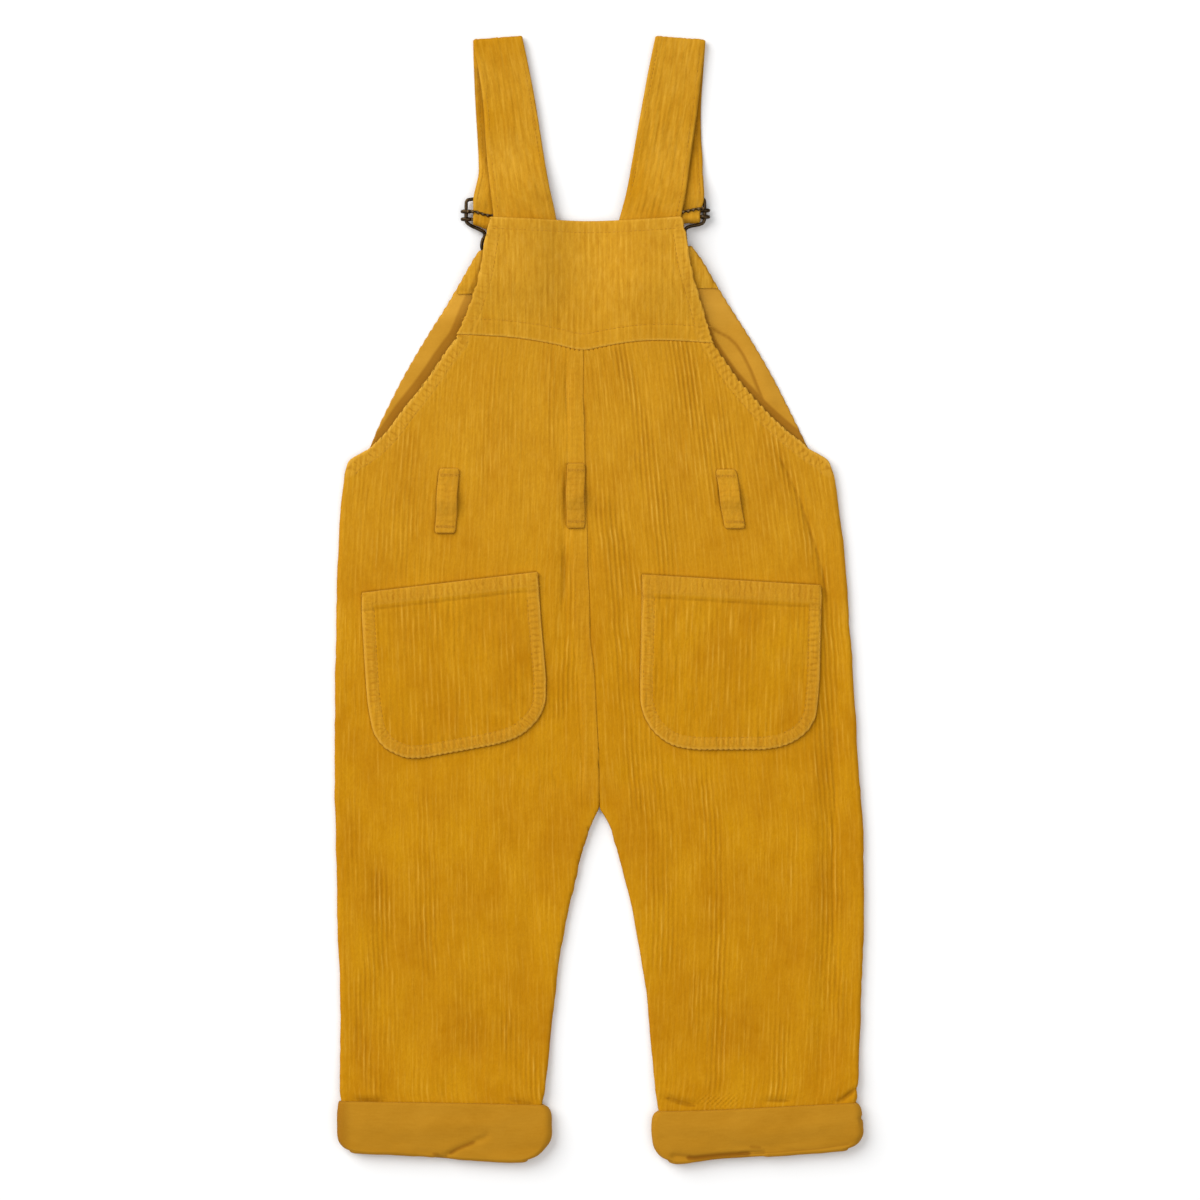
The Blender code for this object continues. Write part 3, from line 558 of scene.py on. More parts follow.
def cut_columns(outline, step):
    loop = np.array(outline, float)
    low, high = loop[:, 0].min(), loop[:, 0].max()
    across = np.linspace(low + 0.01, high - 0.01, int(round((high - low) / step)) + 1)
    start, end = loop, np.roll(loop, -1, axis=0)
    run = end[:, 0] - start[:, 0]
    run[np.abs(run) < 1e-9] = np.nan
    share = (across[:, None] - start[None, :, 0]) / run[None, :]
    hit = (share >= 0) & (share <= 1)
    height = start[None, :, 1] + share * (end[:, 1] - start[:, 1])[None, :]
    return across, np.where(hit, height, np.inf).min(1), np.where(hit, height, -np.inf).max(1)


def levels_of(low, high, step, fine=()):
    """Heights for rows of points, closer together in the stretches given as (from, to, step)."""
    levels, at = [], math.floor(low / step) * step
    while at < high:
        levels.append(at)
        at += min([step] + [close for start, end, close in fine if start - close <= at < end])
    return np.array(levels)


def zip_columns(across, low, high, levels):
    """Points (across, along) in columns, and the triangles between neighbouring columns."""
    points, columns = [], []
    for place, a, b in zip(across, low, high):
        inside_it = levels[(levels > a + 0.3) & (levels < b - 0.3)]
        ends = [a, *inside_it, max(b, a + 0.02)]
        columns.append(range(len(points), len(points) + len(ends)))
        points += [(place, v) for v in ends]
    triangles = []
    for left, right in zip(columns, columns[1:]):
        i = j = 0
        while i < len(left) - 1 or j < len(right) - 1:
            more_right = j < len(right) - 1
            if not more_right or (i < len(left) - 1 and points[left[i + 1]][1] <= points[right[j + 1]][1]):
                triangles.append((left[i], right[j], left[i + 1]))
                i += 1
            else:
                triangles.append((left[i], right[j], right[j + 1]))
                j += 1
    return np.array(points), np.array(triangles)


def rib(wale):
    """The rounded top of a wale, 1 on its ridge and 0 in the groove."""
    return (0.5 + 0.5 * np.cos(2 * np.pi * wale)) ** 0.7


print("the pile stands", RIB, "mm high, and", round(RIB * float(rib(0.25)), 2), "mm halfway to the groove")

# %% [markdown]
# ## From a middle surface to a closed shell of cloth
#
# Each piece is worked out as the middle of its cloth. `shell` moves copies of it out and in by half the
# wall, adds the relief of the wales on the side that has pile, and closes the cut edge with a rounded rim.
# It also keeps the cloth's own map and a few marks at each point for the finish: which wale it is on, how
# clearly the wales show there, and how hard the pile is pressed.


# %% Closing a shell
def normals_of(points, triangles):
    a, b, c = (points[triangles[:, k]] for k in range(3))
    face = np.cross(b - a, c - a)
    total = np.zeros_like(points)
    for k in range(3):
        for axis in range(3):
            total[:, axis] += np.bincount(triangles[:, k], face[:, axis], len(points))
    return total / np.maximum(np.linalg.norm(total, axis=1), 1e-12)[:, None]


def facing_up(triangles, middle, up):
    """The triangles, all turned so that the piece's outside looks up or down."""
    a, b, c = (middle[triangles[:, k]] for k in range(3))
    looks = np.cross(b - a, c - a)[:, 2].sum()
    return triangles if (looks > 0) == up else triangles[:, [0, 2, 1]]


BOTH = (corduroy, inside)  # the finishes of a piece's two sides
LIP = 0.3  # how far a cut edge's rim stands out, as a share of the wall


def shell(name, middle, triangles, wall, over, place, marks, under=0.0, up=True, finishes=BOTH, crevice=-0.3):
    """A closed sheet of cloth, in millimetres. `over` and `under` are the relief of its two sides."""
    count = len(middle)
    triangles = triangles if up is None else facing_up(triangles, middle, up)
    normal = normals_of(middle, triangles)
    half = wall / 2
    ends = np.concatenate([triangles[:, [0, 1]], triangles[:, [1, 2]], triangles[:, [2, 0]]])
    keys = ends[:, 0].astype(np.int64) * count + ends[:, 1]
    border = ends[~np.isin(keys, ends[:, 1].astype(np.int64) * count + ends[:, 0])]
    outward = np.zeros_like(middle)
    step = np.cross(middle[border[:, 1]] - middle[border[:, 0]], normal[border[:, 0]])
    for k in (0, 1):
        for axis in range(3):
            outward[:, axis] += np.bincount(border[:, k], step[:, axis], count)
    outward /= np.maximum(np.linalg.norm(outward, axis=1), 1e-12)[:, None]
    rim = np.unique(border)
    rim_of = np.zeros(count, int)
    rim_of[rim] = 2 * count + np.arange(len(rim))
    points = np.concatenate([
        middle + normal * (half + over)[:, None],
        middle - normal * np.broadcast_to(half + under, count)[:, None],
        middle[rim] + outward[rim] * LIP * wall,
    ])
    a, b = border[:, 0], border[:, 1]
    faces = [tuple(t) for t in triangles.tolist()]
    faces += [(p + count, r + count, q + count) for p, q, r in triangles.tolist()]
    faces += np.stack([b, a, rim_of[a], rim_of[b]], 1).tolist()
    faces += np.stack([rim_of[b], rim_of[a], a + count, b + count], 1).tolist()
    mesh = bpy.data.meshes.new(name)
    mesh.from_pydata((points * MM).tolist(), [], faces)
    source = np.concatenate([np.arange(count), np.arange(count), rim])
    corner = np.empty(len(mesh.loops), np.int32)
    mesh.loops.foreach_get("vertex_index", corner)
    mesh.uv_layers.new(name="cloth").data.foreach_set("uv", place[source[corner]].astype(np.float32).ravel())
    shoulder = 0.5 * ease(-70, 130, middle[:, 1]) + 0.5 * ease(140, 200, middle[:, 1])
    for key, value in {"hem": 3.0, "run": 0.0, "beside": 9.0, "pale": shoulder, **marks}.items():
        value = np.broadcast_to(value, count)[source].astype(np.float32)
        # A rim's own hem mark: the further below 0 it is, the more shade the finish paints on the rim.
        if key == "hem":
            value[2 * count:] = crevice
        mesh.attributes.new(key, "FLOAT", "POINT").data.foreach_set("value", value)
    for finish in finishes:
        mesh.materials.append(finish.material)
    second = np.zeros(len(faces), np.int32)
    second[len(triangles):2 * len(triangles)] = len(finishes) - 1
    mesh.polygons.foreach_set("material_index", second)
    mesh.polygons.foreach_set("use_smooth", np.ones(len(faces), bool))
    mesh.update()
    print(name, len(points), "points,", 2 * len(triangles) + 4 * len(border), "triangles")
    return placed(name, mesh)


# %% [markdown]
# ## Leg panels
#
# Each leg is a front and a back half that meet in a soft fold at the side and at the inseam. The wales run
# down beside the outer edge, and the centre seam, the yoke seam and the armhole cut across them. So the
# wales are counted from the outer edge inwards, and a place on the panel is a distance across the wales and
# a height.


# %% Where the side folds lie
def fold_at(edge, way, share, ending, layer, y):
    """A panel's edge at heights y: where its flat part ends, the fold's width and depth, and its length."""
    height, other = (back_z, front_z) if layer == "back" else (front_z, back_z)
    level, across = height(edge + 3 * way, y), other(edge + 3 * way, y)
    meet = (level + across) / 2 + (SEAM / 2 + 0.4 * ending) * (1 if layer == "back" else -1)
    drop = (level - meet) * share**3
    wide = 0.866 * ROLL * np.abs(level - meet) * share
    round_it = math.pi / 2 * np.sqrt((wide**2 + drop**2) / 2) + 1e-6
    return {"start": edge + way * WALL / 2 * share, "way": way, "wide": wide, "drop": drop, "round": round_it}


def bend(x, z, fold):
    """Turns the part of a flat panel beyond the fold's start down (or up) to the seam."""
    begin = fold["start"] + fold["way"] * fold["wide"]
    beyond = -fold["way"] * (x - begin)
    turn = np.clip(beyond / fold["round"], 0, 1) * math.pi / 2
    bent = beyond > 0
    x = np.where(bent, begin - fold["way"] * fold["wide"] * np.sin(turn), x)
    return x, np.where(bent, z - fold["drop"] * (1 - np.cos(turn)), z)


def flat_edge(fold):
    """Where the edge would be if the fold were laid out flat."""
    return fold["start"] + fold["way"] * (fold["wide"] - fold["round"])


def unruly(side, y, seed):
    """An edge is never quite straight: small waves of a few centimetres and shorter."""
    return 0.28 * drift(70.0 * side, y, 10, 17, seed) + 0.20 * drift(70.0 * side, y, 10, 5, seed + 1)


def centre_x(y):
    """Where the centre seam lies: it wanders a little between its two ends."""
    held = ease(-118, -98, y) * (1 - ease(136, 156, y))
    return smooth(CENTRE, y) + 0.8 * drift(5.0, y, 10, 21, 151) * held


def seam_rise(x, y):
    """How far a row on the back moves up or down, so that the highest rows follow the yoke's seam."""
    return (float(smooth(YOKE_SEAM, x)) - 157.4) * max(y - 104, 0) / 53


def outer_fold(side, layer, y):
    edge = sided(OUTER, side, y) + unruly(side, y, 131)
    return fold_at(edge, -side, 1 - ease(72, 84, y), ease(56, 70, y), layer, y)


def inner_fold(side, layer, y):
    leg = sided(INNER, side, y) + unruly(side, y, 141)
    middle_seam = centre_x(y) + side * (SEAM / 2 + 0.35 * ease(-85, -118, y))
    edge = np.where(np.asarray(y) < CROTCH_Y, leg, middle_seam)
    return fold_at(edge, side, ease(CROTCH_Y - 3, -142, y), ease(-186, -148, y), layer, y)


LEAN = {-1: 0.105, 1: -0.175}  # how the wales lean above the waist, across for each step up


def side_wale(side, layer, y):
    """The outermost wale: beside the leg's edge, and straight on above the underarm."""
    y = np.asarray(y, float)
    return flat_edge(outer_fold(side, layer, np.minimum(y, 60.0))) + LEAN[side] * np.maximum(y - 60.0, 0.0)


def closeness(y):
    """The wales draw a little closer together towards the shoulders."""
    return 1 - 0.07 * ease(30, 157, y)


def across_of(side, layer, x, y):
    return -side * (x - side_wale(side, layer, y)) / closeness(y)


def leg_place(side, layer, across, y):
    """Where a place on a leg panel lies."""
    x = side_wale(side, layer, y) - side * closeness(y) * across
    z = (back_z if layer == "back" else front_z)(x, y)
    x, z = bend(x, z, outer_fold(side, layer, y))
    x, z = bend(x, z, inner_fold(side, layer, y))
    return np.stack([x, y, z], 1)


def leg_outline(side, layer):
    """The panel's edge as (across, along): up the inside edge, along the top, and down the outside."""
    at_back = layer == "back"
    top, foot = (YOKE_LOW if at_back else WAIST_Y), -324.0
    inner_y = np.concatenate([np.arange(foot, CROTCH_Y, 2.0), np.arange(CROTCH_Y, top, 2.0)])
    inner = [(flat_edge(inner_fold(side, layer, v)), v) for v in inner_y]
    top_x = np.linspace(float(smooth(CENTRE, top)), float(sided(OUTER, side, top)), 40)
    top_y = smooth(YOKE_SEAM, top_x) - SEAM - 0.1 if at_back else np.full(40, WAIST_Y - SEAM / 2)
    outer = []
    for level in np.arange(top - 1.0, foot, -1.0):
        fold = outer_fold(side, layer, level)
        rise = seam_rise(fold["start"], level) if at_back else 0.0
        outer.append((max(across_of(side, layer, flat_edge(fold), level + rise), 0.0), level + rise))
    ends = [float(flat_edge(fold(side, layer, foot))) for fold in (outer_fold, inner_fold)]
    foot_x = np.linspace(*ends, 40)
    low = smooth(CUFF_FOLD, foot_x) + WALL / 2 + CUFF_TURN + 5 + 3 * SEAM
    inner, edge, bottom = (
        [(across_of(side, layer, x, v), v) for x, v in line]
        for line in (inner[1:], zip(top_x, top_y), zip(foot_x, low))
    )
    return [(float(u), float(v)) for u, v in inner + edge + outer + bottom]


back_outline = leg_outline(-1, "back")
print("left back panel:", round(max(p[0] for p in back_outline), 1), "mm across the wales")

# %% [markdown]
# ## Relief of the back panels
#
# The wales are clear in some places and crushed in others. Beside a seam the turned-in edge makes a raised
# band, with a groove where the topstitching pulls it down, and small puckers between.


# %% Where the wales stand out
RIBBED = [  # how much more, half the width, and the line that the group of wales follows
    (0.9, 5.0, [(11, 148), (20, 126), (26, 102), (32, 80)]),
    (1.0, 7.0, [(47, 153), (58, 114), (68, 86), (74, 62)]),
    (0.6, 4.0, [(70, 119), (83, 84)]),
    (0.8, 7.0, [(25, 84), (34, 65), (39, 19)]),
    (0.8, 5.0, [(4, 46), (6, 24), (10, -7), (14, -40), (18, -70), (21, -106), (23, -122)]),
    (0.7, 5.0, [(105, 93), (120, 58), (134, 11)]),
    (0.9, 7.0, [(3, 54), (10, 34), (18, 8)]),
    (0.9, 5.0, [(-20, 24), (-16, -7), (-19, -49), (-25, -67)]),
    (0.6, 5.0, [(27, -73), (35, -106), (40, -130)]),
    (0.5, 4.0, [(64, -92), (67, -127)]),
    (0.5, 4.0, [(-29, 150), (-29, 97)]),
    (0.3, 10.0, [(-52, 150), (-57, 100)]),
    (0.9, 6.0, [(65, -108), (70, -161), (72, -227), (69, -290)]),
    (0.8, 7.0, [(136, -60), (136, -108), (138, -148), (141, -174), (139, -207), (143, -247)]),
    (0.6, 9.0, [(32, -116), (40, -154), (34, -163), (39, -218)]),
    (0.5, 7.0, [(60, -228), (58, -253)]),
    (0.6, 7.0, [(110, -257), (106, -293)]),
    (0.4, 5.0, [(118, -128), (116, -167)]),
    (0.9, 7.0, [(-132, -168), (-129, -195), (-135, -214), (-138, -229)]),
    (0.6, 7.0, [(-104, -120), (-104, -164), (-102, -220)]),
    (0.5, 8.0, [(-127, -229), (-128, -262)]),
    (0.7, 6.0, [(-141, -235), (-143, -273), (-134, -292)]),
    (0.4, 8.0, [(-79, -229), (-77, -262)]),
    (0.8, 9.0, [(-56, -254), (-46, -276), (-37, -292)]),
    (0.4, 4.0, [(-148, -120), (-147, -168)]),
    (0.4, 6.0, [(-126, 60), (-132, 10)]),
    (0.5, 5.0, [(86, 150), (97, 112)]),
    (0.4, 4.0, [(-60, 150), (-66, 108), (-70, 60)]),
    (0.4, 6.0, [(-112, 96), (-116, 50), (-120, 20)]),
    (0.4, 5.0, [(34, 60), (40, 24)]),
    (0.7, 6.0, [(138, -5), (139, -30), (138, -60)]),
]


def wales_show(x, y, seed):
    """How clearly the wales stand: faint where the pile is crushed, and clear in a few long groups."""
    soft = drift(x, y, 11, 60, seed) * 0.6 + drift(x, y, 5, 24, seed + 1) * 0.4
    return np.clip(0.07 + 0.22 * soft, 0.02, 1.0)


def crush(x, y, seed):
    """Small ridges and hollows along the pile, where it has been brushed one way and another."""
    lively = 0.75 + 0.45 * drift(x, y, 34, 48, seed + 2)
    lively = lively * (1 - 0.5 * np.exp(-(((x + 95) / 50) ** 2) - ((y + 130) / 60) ** 2))
    lively = lively * (1 - 0.25 * ease(-150, -220, y))
    return lively * (0.11 * drift(x, y, 1.6, 15, seed) + 0.06 * drift(x, y, 1.2, 6, seed + 1))


def grouped(x, y):
    groups = [extra * hump(away(line, x, y), wide, 4) for extra, wide, line in RIBBED]
    return np.max(groups, axis=0) * (0.75 + 0.25 * drift(x, y, 4, 34, 8))


CREASES = [  # depth, half the width, and the line of each sharp crease in the back
    (0.60, 1.6, [(104.8, 93), (120.4, 60), (129, 34), (134.2, 16.2), (138, -10)]),
    (0.45, 1.2, [(139, -60), (142, -110), (140, -170), (143, -240)]),
    (0.35, 1.3, [(96, 96), (108, 78), (112, 66)]),
    (0.45, 1.5, [(-19.5, 138), (-19, 110)]),
    (0.75, 1.5, [(-20.4, 84), (-20.8, 62), (-20.4, 40)]),
    (0.70, 1.7, [(-20.4, 42), (-21, 14), (-22, -8)]),
    (0.45, 1.3, [(-5, 42), (-4, 10)]),
    (0.40, 1.4, [(-60, -86), (-40, -112), (-14, -122)]),
    (0.35, 1.4, [(36, -90), (18, -110), (6, -121)]),
    (0.40, 1.2, [(-29, -96), (-27, -108), (-20, -118)]),
    (0.45, 1.2, [(-148.5, -257), (-139, -258.5)]),
    (1.10, 1.4, [(-152, -299.4), (-140, -300.2), (-124, -300.2)]),
    (0.45, 1.6, [(-92.8, -288), (-92.3, -301)]),
    (1.00, 1.3, [(-57, -300.4), (-36, -302.4)]),
    (1.40, 1.5, [(35, -296.8), (48, -301.4), (62, -304.6)]),
    (0.95, 1.3, [(96, -300.2), (118, -300.6)]),
    (1.30, 1.4, [(138, -301.8), (146, -299.6), (152, -294.8), (158, -290.4)]),
    (-0.50, 2.4, [(35, -293.2), (48, -297.2), (62, -300.6)]),
    (-0.60, 2.2, [(146, -303), (156, -297)]),
    (-0.40, 2.0, [(-152, -296.2), (-124, -296.8)]),
    (-0.35, 2.0, [(92, -296.6), (122, -297.0)]),
]
CORDED = (72.0, -300.5)  # a place above the right cuff where the cloth is twisted like a cord
print(len(RIBBED), "groups of clear wales and", len(CREASES), "sharp creases")


# %% Seam bands
def length_of(line):
    return sum(math.dist(a, b) for a, b in zip(line, line[1:]))


def band(distance, width):
    """A raised seam band: its height, and how hard its pile is pressed."""
    held = 1 - ease(width - 0.9, width + 0.9, distance)
    stitched = hump(distance - width + FIRST_ROW, 0.8)
    return 0.30 * held - 0.34 * stitched, held


def puckered(points, x, y, width, deep, seed):
    """A band beside a line: its puckered relief, how hard it is pressed, and its marks for the finish."""
    far, along = near(points, x, y)
    raised, held = band(far, width)
    wave = np.cos(2 * np.pi * along / PUCKER)
    middle_of_it = hump(far - width * 0.55, width * 0.36)
    strength = 0.6 + 0.4 * drift(along, far, 24, 40, seed + 1)
    return raised - deep * wave * middle_of_it * strength, held, far / (width - FIRST_ROW), along


def seam_marks(bands):
    """The marks of whichever band is nearest."""
    nearest = np.argmin([hem for _, _, hem, _ in bands], axis=0)
    hem = np.choose(nearest, [hem for _, _, hem, _ in bands])
    return {"hem": np.minimum(hem, 3.0), "run": np.choose(nearest, [along for *_, along in bands])}


def outside(loop, x, y):
    """How far places are outside a closed line, and below 0 inside it."""
    loop = [(float(a), float(b)) for a, b in loop]
    far = away(loop + loop[:1], x, y)
    crossings = np.zeros(np.shape(x), int)
    for (ax, ay), (bx, by) in zip(loop, loop[1:] + loop[:1]):
        if ay != by:
            crossings += ((ay > y) != (by > y)) & (x < ax + (y - ay) * (bx - ax) / (by - ay))
    return np.where(crossings % 2 == 1, -far, far)


def pocket_lines(rows):
    """The opening, and the line down one side, round the bottom and up the other."""
    table = [(n, *row) for n, row in enumerate(rows)]
    n = np.linspace(0, len(rows) - 1, 60)
    left = list(zip(smooth(table, n, 1).tolist(), smooth(table, n, 2).tolist()))
    right = list(zip(smooth(table, n, 3).tolist(), smooth(table, n, 4).tolist()))
    opening = [left[0], right[0]]
    return opening, left + right[::-1]


def patches():
    """The outlines of all that is sewn on the back."""
    # A pocket's outline is raised a little above its opening, so that the painted shade reaches further over
    # the cloth above it.
    outlines = [[(a, b + 0.9 * (b > 3)) for a, b in pocket_lines(rows)[1]] for rows in POCKETS.values()]
    for _, top_x, top_y, low_x, low_y, width in LOOPS:
        half = width / 2
        corners = [(top_x - half, top_y), (top_x + half, top_y), (low_x + half, low_y), (low_x - half, low_y)]
        outlines.append([(a - 0.5, b) for a, b in corners])
    return outlines


def beside_patches(x, y):
    """How far from the nearest patch, loop or seam whose shadow is painted on the back panels."""
    return np.min([outside(outline, x, y) + 0.3 * (len(outline) > 9) for outline in patches()], axis=0)


def armhole(side):
    return [(float(sided(OUTER, side, v)), float(v)) for v in np.arange(81, 158, 4)]


def centre_seam():
    return [(float(centre_x(y)), float(y)) for y in np.arange(CROTCH_Y, 158, 5)]


def back_relief(side, x, y, wale):
    shows_here = np.clip(wales_show(x, y, 11 + side) + grouped(x, y), 0.05, 1.0)
    bands = [puckered(armhole(side), x, y, 9.2, 0.22, 41)]
    if side < 0:
        # Only the left half turns its edge under the centre seam, so the band is on that side.
        bands.append(puckered(centre_seam(), x, y, 11.5, 0.13, 43))
    arm_held = bands[0][1] * 0.7
    seam_held = bands[-1][1] * 0.14 * ease(CROTCH_Y - 4, CROTCH_Y + 16, y) if side < 0 else 0 * x
    pressed_here = np.clip(np.maximum(arm_held, seam_held), 0, 1)
    ribbed_here = np.clip(shows_here * (1 - 0.4 * pressed_here) + 0.35 * arm_held, 0, 1)
    height = RIB * ribbed_here * (rib(wale) - 0.5)
    height = height + crush(x, y, 51 + side) * (1 + (0.5 * ease(40, 90, y) if side > 0 else 0))
    height = height + bands[0][0] * 0.6
    if side < 0:
        height = height + bands[-1][0] * ease(CROTCH_Y - 4, CROTCH_Y + 6, y)
    # Painted shade on the back: under the yoke's edge, fading near its ends, beside what is sewn on, beside
    # the centre seam on the right half and along the deepest creases. The same distance also sinks the cloth
    # a little.
    under_yoke = smooth(YOKE_SEAM, x) - SEAM - y + 0.6 + 2.5 * (1 - ease(-86, -68, x) * ease(70, 52, x))
    beside = np.minimum(beside_patches(x, y), under_yoke)
    if side > 0:
        open_seam = ease(124, 112, y) * ease(66, 80, y)
        off_seam = x - centre_x(y) - SEAM / 2 + 0.5 - 0.9 * open_seam
        beside = np.minimum(beside, off_seam + 9 * ease(CROTCH_Y + 1, CROTCH_Y - 1, y))
    height = height - 0.25 * hump(beside, 0.9)
    twist = np.exp(-(((x - CORDED[0]) / 13) ** 4) - ((y - CORDED[1]) / 3.2) ** 2)
    height = height + 0.35 * twist * np.cos(2 * np.pi * (x + 0.9 * y) / 3.1)
    for deep, wide, line in CREASES:
        far, along = near(line, x, y)
        tip = min(12, length_of(line) / 3)
        ends = ease(0, tip, along) * ease(0, tip, length_of(line) - along)
        height = height - deep * hump(far, wide) * ends
        if deep > 0.5:
            beside = np.minimum(beside, far * 1.3 + 0.5 - deep + 2.5 * (1 - ends))
    # More of the painted ridge highlights and groove shade on the upper back, most on the right half.
    clearer_streaks_here = (0.22 if side > 0 else 0.06) * ease(20, 70, y)
    marks = {"shows": shows_here * (1 - 0.6 * pressed_here) + clearer_streaks_here, "pressed": pressed_here}
    marks = {**marks, **seam_marks(bands), "beside": beside}
    return height, marks


def leg_panel(name, side, layer, across_step, levels):
    across, low, high = cut_columns(leg_outline(side, layer), across_step)
    if layer == "back":
        # Each wale ends in a small scallop at the armhole.
        in_armhole = np.interp(high, [88.0, 96.0, 150.0, 156.0], [0.0, 1.0, 1.0, 0.0])
        high = high + in_armhole * 2.0 * (rib(across / WALE) - 0.5)
    flat, triangles = zip_columns(across, low, high, levels)
    middle = leg_place(side, layer, flat[:, 0], flat[:, 1])
    x, y = middle[:, 0], middle[:, 1]
    wale_at = flat[:, 0] / WALE + 0.16 * drift(x, y, 22, 60, 3)
    if layer == "back":
        over, marks = back_relief(side, x, y, wale_at)
    else:
        shows_here = wales_show(x, y, 31 + side) + 0.2
        over, marks = RIB * shows_here * (rib(wale_at) - 1), {"shows": shows_here, "pressed": 0.0}
    marks["wale"] = wale_at
    return shell(name, middle, triangles, WALL, over, flat, marks, up=layer == "back", crevice=-0.12)


pieces = {}
for side, word in ((-1, "left"), (1, "right")):
    levels = levels_of(-340, 162, 5.0, [(-308, -280, 1.5), (80, 162, 1.3)])
    pieces["back_" + word] = leg_panel("cloth_back_" + word, side, "back", WALE / 6, levels)
    levels = levels_of(-340, 70, 9.0)
    pieces["front_" + word] = leg_panel("cloth_front_" + word, side, "front", WALE / 4, levels)

# %% [markdown]
# ## Yoke
#
# The yoke is one piece across the shoulders. Its wales run straight up, its lower edge lies over the back
# halves in a shallow V, and a hem is turned under along its top. The straps come out from beneath that hem.


# %% The yoke
def yoke_outline():
    x = np.linspace(-85.0, 68.0, 60)
    loop = list(zip(x, smooth(YOKE_SEAM, x) + SEAM / 2))
    for side in (1, -1):
        for level in np.linspace(YOKE_LOW, YOKE_HIGH - 0.4, 40)[::side]:
            share, edge = (level - YOKE_LOW) / (YOKE_HIGH - YOKE_LOW), float(sided(YOKE, side, level))
            rise = (float(smooth(YOKE_SEAM, edge)) + SEAM / 2 - YOKE_LOW) * (1 - share)
            loop.append((edge, level + rise + (float(smooth(YOKE_TOP, edge)) - YOKE_HIGH) * share))
        if side > 0:
            top = np.linspace(49.0, -64.9, 50)
            loop += list(zip(top, smooth(YOKE_TOP, top)))
    return loop


STRETCH = 1.12  # the yoke's and pockets' wales are a little wider apart
outline = yoke_outline()
side_lines = [outline[60:100], outline[150:190]]
top_edge, seam_edge = outline[100:150], outline[:60]
across, low, high = cut_columns([(x / STRETCH, y) for x, y in outline], WALE / 6)
high = high + np.interp(high, [158, 164, 222, 226], [0.0, 1.0, 1.0, 0.0]) * 1.5 * (rib(across / WALE) - 0.5)
levels = levels_of(148, 232, 2.7, [(148, 172, 0.9), (216, 232, 0.9)])
flat, triangles = zip_columns(across, low, high, levels)
x, y = flat[:, 0] * STRETCH, flat[:, 1]
wale_at = flat[:, 0] / WALE + 0.14 * drift(x, y, 25, 50, 17)
shows_here = wales_show(x, y, 23)
bands = [puckered(top_edge, x, y, 8.0, 0.04, 38), puckered(seam_edge, x, y, 11.0, 0.05, 39)]
bands += [puckered(line, x, y, EDGE_BAND, 0.30, 40 + n) for n, line in enumerate(side_lines)]
hem_held, felled_held, *side_held = (held for _, held, _, _ in bands)
pressed_here = np.clip(hem_held * 0.2 + felled_held * 0.1 + (side_held[0] + side_held[1]) * 0.40, 0, 1)
pressed_here = np.maximum(pressed_here, 0.6 * hump(away(seam_edge, x, y), 1.1))
over = RIB * shows_here * (1 - 0.55 * np.maximum(hem_held, 0.6 * felled_held)) * (rib(wale_at) - 0.5)
over = over + crush(x, y, 57) * 1.1 + 0.06 * drift(x, y, 2.0, 8, 60)
over = over + np.maximum(bands[0][0], bands[1][0]) + 0.6 * (bands[2][0] + bands[3][0]) * (1 - hem_held)
marks = {"wale": wale_at, "shows": shows_here * (1 - 0.5 * pressed_here) + 0.16, "pressed": pressed_here}
ripple = 0 * x
for side, line in zip((1, -1), side_lines):
    far, along = near(line, x, y)
    ripple = ripple + side * 0.32 * np.cos(2 * np.pi * along / PUCKER) * hump(far, 1.4)
middle = np.stack([x + ripple, y, back_z(x, y)], 1)
marks = {**marks, **seam_marks(bands)}
pieces["back_yoke"] = shell("cloth_yoke", middle, triangles, WALL, over, flat, marks, crevice=0.2)

# %% [markdown]
# ## Bib and its facing
#
# The bib is the front's upper piece. It lies face down, so its smooth inside shows past the armholes of the
# back, with a soft fold where it has slumped. Along its top a strip of corduroy is turned to the inside as
# a facing.

# %% The bib
BIB_FOLDS = [  # height, width, points: on the inner face
    (0.9, 5.0, [(84, 160), (92, 149), (99, 134), (103, 122)]),
    (-0.8, 1.6, [(68, 163), (73, 160.2), (78, 157.6), (82.4, 153.4), (86.6, 147), (90.8, 138.6), (95, 128),
                 (98.6, 119), (106, 109.4)]),
    (0.6, 6.0, [(-84, 172), (-95, 156), (-108, 138), (-116, 122)]),
]


def bib_z(x, y):
    return np.maximum(front_z(x, y) + creased(BIB_FOLDS, x, y), WALL / 2)


# The shade over the bib is painted in its colour; these widths set how far it reaches.
SHADED = {  # y, how far the deep shade beside the back's edge reaches over the bib
    -1: [(90, 3.0), (107, 5.0), (133, 5.7), (173, 6.0), (199, 2.5), (212, 1.5)],
    1: [(90, 5.5), (107, 4.8), (120, 3.9), (133, 2.6), (146, 1.7), (173, 0.9), (212, 0.3)],
}


def bib_shade(x, y):
    """How far places on the bib are outside the painted shade that the back's edge throws, and outside the
    painted shade along its crease.
    """
    beside = away(BIB_FOLDS[1][2], x, y) * 0.8 - 0.5
    for side, widths in SHADED.items():
        edge = armhole(side) + [(float(sided(YOKE, side, v)), float(v)) for v in range(161, 230, 8)]
        beside = np.minimum(beside, away(edge, x, y) - smooth(widths, y))
    return beside


FACING_LOW, FACING_SLANT = 185.9, 0.024


def bib_edge(side, level):
    if level < 91:
        return float(flat_edge(outer_fold(side, "front", level)))
    return float(sided(BIB, side, level))


def bib_side(side, levels):
    return [(bib_edge(side, v), float(v)) for v in levels]


def bib_outline(low, inset=0.0):
    foot = np.linspace(bib_edge(-1, low) + inset, bib_edge(1, low) - inset, 50)
    slant = FACING_SLANT if inset else 0.0
    right = bib_side(1, np.arange(low + 1, 211.6, 1.5))
    top = np.linspace(55.4, -70.4, 60)
    left = bib_side(-1, np.arange(209.0, low, -1.5))
    loop = [(x, low + slant * x) for x in foot] + [(x - inset, y) for x, y in right]
    return loop + [(x, float(smooth(BIB_TOP, x)) - inset) for x in top] + [(x + inset, y) for x, y in left]


